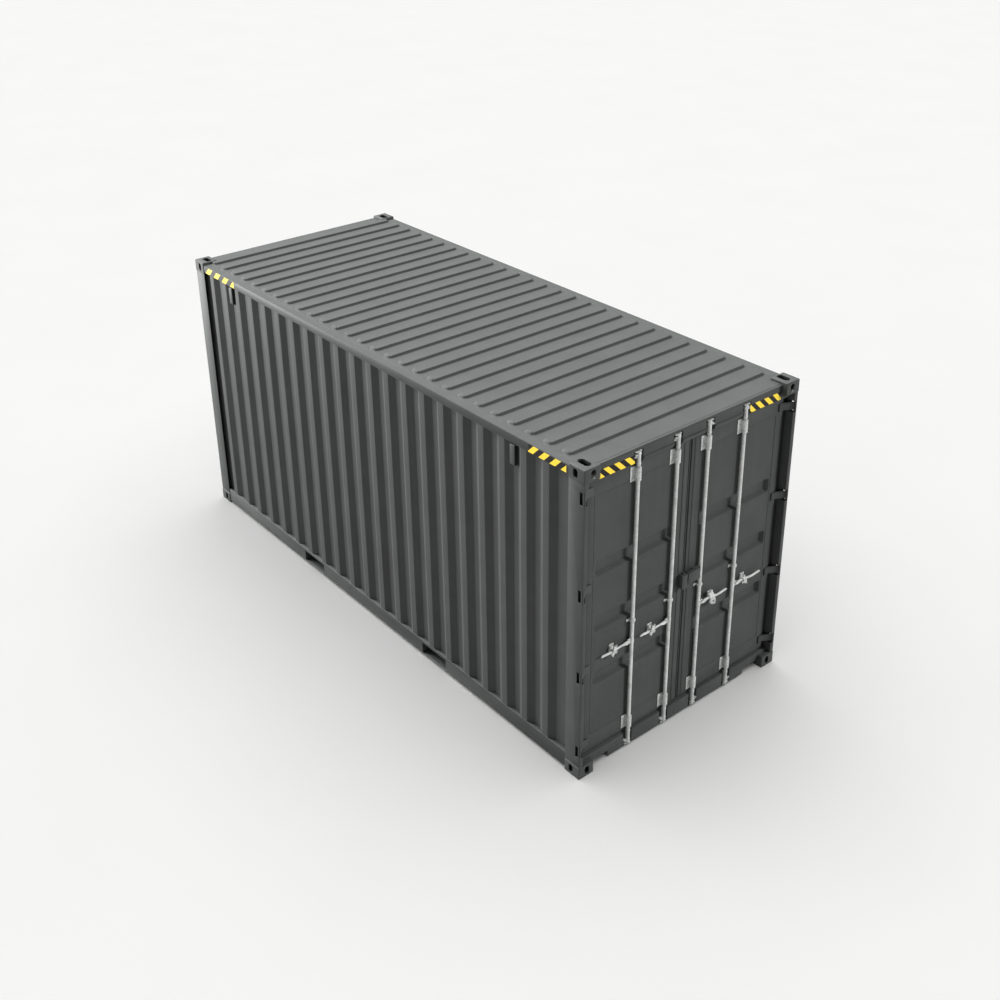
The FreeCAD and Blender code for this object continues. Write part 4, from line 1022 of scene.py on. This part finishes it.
class CONTAINER_OT_fit_vents(bpy.types.Operator):
    """Mould the ventilator covers: a hood over the wall's holes, open at its edge"""

    bl_idname = "container.fit_vents"
    bl_label = "Ventilators"

    def execute(self, context):
        sizes = context.scene.container_sizes
        low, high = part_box("vent_covers")
        tall = high.z - low.z
        bm = bmesh.new()
        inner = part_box("side_wall_right")[0].y + sizes.skin
        outer = high.y
        seats = self.seats()
        dark = bmesh.new()
        for middle, way in seats:
            hood = (way * (outer - 0.011), way * outer)
            flange = (way * inner, way * (inner + 0.003))
            span = (middle - 0.03, middle + 0.03)
            add_block(bm, (span[0], hood[0], low.z + 0.016), (span[1], hood[1], high.z - 0.014), 0.005, 3)
            add_block(bm, (span[0], flange[0], low.z), (span[1], flange[1], high.z), 0.001)
            # legs at the blind side and at both ends carry the hood; the door side is open
            legs = (way * (inner + 0.002), way * (outer - 0.008))
            leg = (span[0], legs[0], low.z + 0.02), (span[0] + 0.006, legs[1], high.z - 0.018)
            add_block(bm, *leg, 0.0015)
            for level in (low.z + 0.018, low.z + tall / 2, high.z - 0.022):
                add_block(bm, (span[0], legs[0], level), (span[1] - 0.004, legs[1], level + 0.004), 0.001)
            # painted shade: a black sheet, set back from the open edge, darkens the inside of the hood
            shade_sheet = (span[0] + 0.01, legs[0], low.z + 0.024), (span[1] - 0.006, legs[1], high.z - 0.024)
            add_block(dark, *shade_sheet, 0.001)
            for level in (low.z + 0.008, high.z - 0.007):
                seat = Vector((middle, way * (inner + 0.0025), level))
                rivet = [(0, 0.0045), (way * 0.0014, 0.004), (way * 0.0022, 0.002)]
                add_turned(bm, seat, rivet, "y", 14)
                knob = (way * (inner + 0.002), way * (outer - 0.004))
                inset = 0.006 if level < low.z + 0.1 else -0.006
                centre = level + inset
                near = (middle + 0.002, knob[0], centre - 0.006)
                far = (middle + 0.024, knob[1], centre + 0.006)
                add_block(bm, near, far, 0.004, 3)
        settle("ventilator_hoods", bm, PAINT_SLOT, "vent_covers", ["vent_covers"])
        # the black sheets that paint the shade inside the hoods
        settle("ventilator_painted_shade", dark, RUBBER_SLOT, "vent_covers")
        return {"FINISHED"}

    def seats(self):
        """The middle of each cover along X, and its side."""
        found = set()
        for vert in NODES["vent_covers"].data.vertices:
            found.add((round(vert.co.x, 4), 1 if vert.co.y > 0 else -1))
        seats = []
        for way in (-1, 1):
            marks = sorted(x for x, side in found if side == way)
            seats += [((marks[0] + marks[1]) / 2, way), ((marks[-1] + marks[-2]) / 2, way)]
        return seats


class CONTAINER_OT_fit_lock_box(bpy.types.Operator):
    """Fold the two halves of the lock box round the place of the padlock"""

    bl_idname = "container.fit_lock_box"
    bl_label = "Lock box"

    def execute(self, context):
        for side, way in SIDES:
            self.fold(side, way)
        return {"FINISHED"}

    def fold(self, side, way):
        """The right half is a shallow tray with a broad front; the left one is a deeper hood."""
        name = f"lock_box_{side}"
        low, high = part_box(name)
        near, far = sorted((abs(low.y), abs(high.y)))
        right = way > 0
        if right:
            far = max(far, 0.150)  # its front covers the padlock's whole place
        bottom = low.z + (0.024 if right else 0.0)
        top = high.z - 0.014
        wall = 0.004
        bm = bmesh.new()

        def slab(x, y, z, radius=0.0012):
            add_block(bm, (x[0], way * y[0], z[0]), (x[1], way * y[1], z[1]), radius)

        slab((high.x - wall, high.x), (near, far), (bottom, top))
        slab((low.x, high.x - 0.001), (near, far), (top - wall, top))
        slab((low.x, high.x - 0.001), (far - wall, far), (bottom + 0.006, top - 0.001))
        slab((low.x, high.x - 0.001), (near, near + wall), (bottom + 0.030, top - 0.001))
        slab((low.x, low.x + 0.003), (near, far), (bottom + 0.010, top + 0.008))
        # a knob on top takes the seal's wire
        middle = way * (near + (far - near) * (0.55 if right else 0.35))
        add_ball(bm, Vector((low.x + 0.018, middle, top + 0.0048)), 0.0068, 0.0085, 16)
        settle(f"folded_{name}", bm, PAINT_SLOT, name, [name])


class CONTAINER_OT_fit_edge_bars(bpy.types.Operator):
    """Weld the flat bars that hold the seals to the meeting edges of the doors"""

    bl_idname = "container.fit_edge_bars"
    bl_label = "Meeting edge bars"

    def execute(self, context):
        for side, way in SIDES:
            frame_low, frame_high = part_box(f"door_frame_{side}")
            lock_low, lock_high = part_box(f"lock_box_{side}")
            x = frame_high.x
            below = (frame_low.z + 0.012, lock_low.z - 0.006)
            above = (lock_high.z + 0.006, frame_high.z - 0.012)
            bm = bmesh.new()
            for low, high in (below, above):
                for near, far, tall in ((0.0085, 0.0165, 0.005), (0.046, 0.078, 0.0035)):
                    add_block(bm, (x - 0.001, way * near, low), (x + tall, way * far, high), 0.0012)
            settle(f"meeting_edge_bars_{side}", bm, PAINT_SLOT, f"door_frame_{side}")
        return {"FINISHED"}


class CONTAINER_OT_lay_welds(bpy.types.Operator):
    """Lay weld beads where walls meet rails and where a door's sheet meets its frame"""

    bl_idname = "container.lay_welds"
    bl_label = "Welds"
    # half the length of a roof seam, and its distance from the container's side
    seam_half, seam_inset = 2.848, 0.079

    def execute(self, context):
        sizes = context.scene.container_sizes
        for side, way in SIDES:
            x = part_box(f"door_frame_{side}")[1].x - 0.0004
            low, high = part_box(f"door_panel_{side}")
            corners = [(x, low.y, low.z), (x, high.y, low.z), (x, high.y, high.z), (x, low.y, high.z)]
            bm = bmesh.new()
            for start, end in zip(corners, corners[1:] + corners[:1]):
                self.bead(bm, Vector(start), Vector(end), Vector((1, 0, 0)), sizes.bead)
            settle(f"door_weld_{side}", bm, PAINT_SLOT, f"door_frame_{side}", smooth=60)
            roof_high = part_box("roof_panel")[1]
            seam = way * (CAD_BOX[1].y - self.seam_inset)
            level = roof_high.z - sizes.rib_tall - 0.0006
            bm = bmesh.new()
            start, end = (Vector((x, seam, level)) for x in (-self.seam_half, self.seam_half))
            self.bead(bm, start, end, Vector((0, 0, 1)), sizes.bead)
            settle(f"roof_weld_{side}", bm, PAINT_SLOT, "roof_panel", smooth=60)
            wall_low, wall_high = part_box(f"side_wall_{side}")
            rail_low, rail_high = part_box(f"top_side_rail_{side}")
            outer = way * max(abs(rail_low.y), abs(rail_high.y))
            wall = way * max(abs(wall_low.y), abs(wall_high.y))
            bm = bmesh.new()
            for level, up in ((wall_low.z, 1), (wall_high.z, -1)):
                y = wall + way * 0.0002
                start, end = Vector((wall_low.x, y, level)), Vector((wall_high.x, y, level))
                out = Vector((0, way, up)).normalized()
                reach = min(sizes.bead, abs(outer - wall)) * 0.9
                self.bead(bm, start, end, out, reach)
            settle(f"wall_weld_{side}", bm, PAINT_SLOT, f"side_wall_{side}", smooth=60)
        return {"FINISHED"}

    def bead(self, bm, start, end, out, tall):
        """A low round bead whose height and width wander as a hand-laid one does."""
        along = (end - start).normalized()
        across = along.cross(out)
        count = max(2, int((end - start).length / 0.03))
        rings = []
        for step in range(count + 1):
            share = step / count
            ripple = 1 + 0.16 * math.sin(step * 2.4) + 0.1 * math.sin(step * 0.7 + 1)
            centre = start.lerp(end, share)
            ring = []
            for part in range(7):
                turn = math.pi * part / 6
                reach = across * math.cos(turn) * 1.3 + out * math.sin(turn) * ripple
                ring.append(centre + reach * tall * 0.8)
            rings.append(ring)
        add_rings(bm, rings)


class CONTAINER_OT_stick_tapes(bpy.types.Operator):
    """Stick the striped tapes on the corners of the side rails and of the door header"""

    bl_idname = "container.stick_tapes"
    bl_label = "Striped tapes"
    # the header's tapes: above its lower edge, in height, and the first bar from the tape's start
    header_rise, header_tall, first_bar = 0.006, 0.073, 0.022

    def execute(self, context):
        finish = context.scene.container_finish
        end = CAD_BOX[1].x
        rail_low, rail_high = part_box("top_side_rail_right")
        tall = rail_high.z - rail_low.z
        film = 0.0006
        stretches = (("rear", end - 0.638, end - 0.206), ("front", 0.2 - end, 0.82 - end))
        for side, way in SIDES:
            y = way * rail_high.y
            for place, low, high in stretches:
                lean = -1 if way < 0 else 1
                length = high - low
                period = (length + tall) / (finish.stripe_count / 2)
                start = low - rail_high.z if lean < 0 else low + rail_low.z
                origin = start + period / 2
                film_name = f"printed_reflective_film_{side}_{place}"
                material = striped_reflective_tape(film_name, 0, origin, period, lean, finish)
                near, far = (low, y, rail_low.z + 0.001), (high, y + way * film, rail_high.z - 0.003)
                self.stick(f"rail_tape_{side}_{place}", near, far, "top_side_rail_right", material)
        face = self.header_face()
        for side, way in SIDES:
            # from beside the corner casting to beside the outer rod's keeper
            low, high = sorted((way * (CAD_BOX[1].y - 0.174), way * (CAD_BOX[1].y - 0.560)))
            bottom = self.lowest(face) + self.header_rise
            top = bottom + self.header_tall
            period = (high - low + top - bottom) / (finish.stripe_count / 2 + 0.2)
            start = low + bottom + self.first_bar
            film_name = f"printed_reflective_film_header_{side}"
            material = striped_reflective_tape(film_name, 1, start, period, 1, finish)
            near, far = (face, low, bottom), (face + film, high, top)
            self.stick(f"header_tape_{side}", near, far, "door_header", material)
        return {"FINISHED"}

    def stick(self, name, near, far, on, material):
        bm = bmesh.new()
        add_block(bm, near, far, 0.0002, 1)
        settle(name, bm, PAINT_SLOT, on, smooth=35, material=material)

    def lowest(self, plane):
        """Where the header's broad face begins, clear of the drip strip in its middle."""
        mesh = NODES["door_header"].data
        points = [vert.co for vert in mesh.vertices]
        return min(p.z for p in points if abs(p.x - plane) < 1e-4 and abs(p.y) > 0.7)

    def header_face(self):
        """The plane of the door header's broad face."""
        mesh = NODES["door_header"].data
        areas = {}
        for face in mesh.polygons:
            if face.normal.x > 0.99:
                key = round(face.center.x, 4)
                areas[key] = areas.get(key, 0) + face.area
        broad = [key for key, area in areas.items() if area > 0.25 * max(areas.values())]
        return max(broad)


class CONTAINER_OT_finish_plain_nodes(bpy.types.Operator):
    """Give the CAD nodes that show as they are their real finishes"""

    bl_idname = "container.finish_plain_nodes"
    bl_label = "Plain steel and floor"

    def execute(self, context):
        for name, thing in NODES.items():
            if thing.hide_render:
                continue
            thing.data.materials.clear()
            thing.data.materials.append(finish_of(slot_of(name)))
        return {"FINISHED"}


class CONTAINER_OT_set_stage(bpy.types.Operator):
    """Lay the studio floor and set the lights and the camera"""

    bl_idname = "container.set_stage"
    bl_label = "Studio"

    def execute(self, context):
        scene = context.scene
        scene.view_settings.view_transform = "Standard"
        floor = self.floor(scene)
        self.world(scene)
        ground = bpy.data.collections.new("lamps_pass_over_floor")
        ground.objects.link(floor)
        ground.collection_objects[0].light_linking.link_state = "EXCLUDE"
        only = bpy.data.collections.new("lamps_on_floor")
        only.objects.link(floor)
        self.bank("key_bank", (-0.70, -0.18, 0.69), 30, 7.2, ground)
        self.bank("top_bank", (-0.50, 0.0, 0.87), 40, 2.4, ground)
        self.bank("door_bank", (0.66, 0.62, 0.42), 14, 3.6, ground, gloss=False)
        self.bank("floor_bank", (0.0, 0.0, 1.0), 90, 1.75, only)
        self.softbox("end_softbox", (-10.0, -6.0, 2.5), (0, -1.2, 1.3), 4.0, 1400, ground)
        self.camera(scene)
        return {"FINISHED"}

    def floor(self, scene):
        bm = bmesh.new()
        reach, count = 60.0, 24
        marks = [reach * (2 * step / count - 1) for step in range(count + 1)]
        rows = [[bm.verts.new((x, y, -0.0005)) for y in marks] for x in marks]
        for row, after in zip(rows, rows[1:]):
            for place in range(count):
                bm.faces.new((row[place], after[place], after[place + 1], row[place + 1]))
        mesh = bpy.data.meshes.new("studio_floor")
        bm.to_mesh(mesh)
        bm.free()
        floor = linked("studio_floor", mesh)
        mesh.materials.append(matt_studio_paper("matt_studio_paper", tuple(scene.container_finish.ground)))
        return floor

    def world(self, scene):
        world = bpy.data.worlds.new("studio_air")
        world.use_nodes = True
        tree = world.node_tree
        # the studio's far wall, behind the blind end, is lit and the near one is not
        place = node(tree, "TexCoord").outputs["Generated"]
        along = node(tree, "SeparateXYZ", Vector=place)
        level = node(
            tree, "MapRange", Value=along.outputs["X"], From_Min=-1.0, From_Max=1.0, To_Min=0.85, To_Max=0.12
        )
        feed(tree, tree.nodes["Background"], Color=(1.0, 1.0, 1.0, 1), Strength=level.outputs["Result"])
        scene.world = world

    def bank(self, name, toward, spread, strength, reach, gloss=True):
        """A bank of soft lights so far off that it lights everything within reach alike."""
        lamp = bpy.data.lights.new(name, "SUN")
        lamp.angle = math.radians(spread)
        lamp.energy = strength
        holder = self.hang(lamp, 20 * Vector(toward), Vector(toward), reach)
        holder.visible_glossy = gloss

    def softbox(self, name, place, target, size, watts, reach):
        lamp = bpy.data.lights.new(name, "AREA")
        lamp.shape = "SQUARE"
        lamp.size = size
        lamp.energy = watts
        self.hang(lamp, Vector(place), Vector(place) - Vector(target), reach)

    def hang(self, lamp, place, back, reach):
        """Sets a lamp with its back this way; reach lists what it lights or passes over."""
        holder = linked(lamp.name, lamp)
        holder.location = place
        holder.rotation_mode = "QUATERNION"
        holder.rotation_quaternion = back.to_track_quat("Z", "Y")
        holder.light_linking.receiver_collection = reach
        return holder

    def camera(self, scene):
        """Looks down on the door end from the left, as a person on a ladder would."""
        swing, tilt, roll = (math.radians(angle) for angle in (-39.057, 25.327, -0.716))
        ahead = -Vector((math.cos(swing) * math.cos(tilt), math.sin(swing) * math.cos(tilt), math.sin(tilt)))
        right = ahead.cross(Vector((0, 0, 1))).normalized()
        up = right.cross(ahead)
        across = math.cos(roll) * right + math.sin(roll) * up
        above = -math.sin(roll) * right + math.cos(roll) * up
        turned = Matrix((across, above, -ahead)).transposed().to_4x4()
        turned.translation = Vector((8.8828, -6.7492, 7.3764))
        lens = bpy.data.cameras.new("studio_camera")
        lens.sensor_width = 36
        lens.lens = 45.7
        lens.shift_y = -0.1125
        lens.clip_end = 200
        camera = linked("studio_camera", lens)
        camera.matrix_world = turned
        scene.camera = camera


OPERATORS = (
    CONTAINER_OT_roll_side_walls,
    CONTAINER_OT_roll_end_wall,
    CONTAINER_OT_press_roof,
    CONTAINER_OT_press_doors,
    CONTAINER_OT_soften_frame,
    CONTAINER_OT_forge_rods,
    CONTAINER_OT_forge_handles,
    CONTAINER_OT_fit_catches,
    CONTAINER_OT_fit_bearings,
    CONTAINER_OT_fit_vents,
    CONTAINER_OT_fit_lock_box,
    CONTAINER_OT_fit_edge_bars,
    CONTAINER_OT_lay_welds,
    CONTAINER_OT_stick_tapes,
    CONTAINER_OT_finish_plain_nodes,
    CONTAINER_OT_set_stage,
)


class CONTAINER_PT_build(bpy.types.Panel):
    """The container's sizes, colours and building steps"""

    bl_label = "Freight container"
    bl_space_type = "VIEW_3D"
    bl_region_type = "UI"
    bl_category = "Container"

    def draw(self, context):
        layout = self.layout
        for group in (context.scene.container_sizes, context.scene.container_finish):
            box = layout.box()
            for name in group.bl_rna.properties.keys():
                if name not in ("rna_type", "name"):
                    box.prop(group, name)
        for kind in OPERATORS:
            layout.operator(kind.bl_idname)


CLASSES = (ContainerSizes, ContainerFinish) + OPERATORS + (CONTAINER_PT_build,)


def register():
    for kind in CLASSES:
        bpy.utils.register_class(kind)
    bpy.types.Scene.container_sizes = PointerProperty(type=ContainerSizes)
    bpy.types.Scene.container_finish = PointerProperty(type=ContainerFinish)


def unregister():
    del bpy.types.Scene.container_finish
    del bpy.types.Scene.container_sizes
    for kind in reversed(CLASSES):
        bpy.utils.unregister_class(kind)


def main():
    register()
    for kind in OPERATORS:
        group, step = kind.bl_idname.split(".")
        getattr(getattr(bpy.ops, group), step)()


if __name__ == "__main__":
    main()
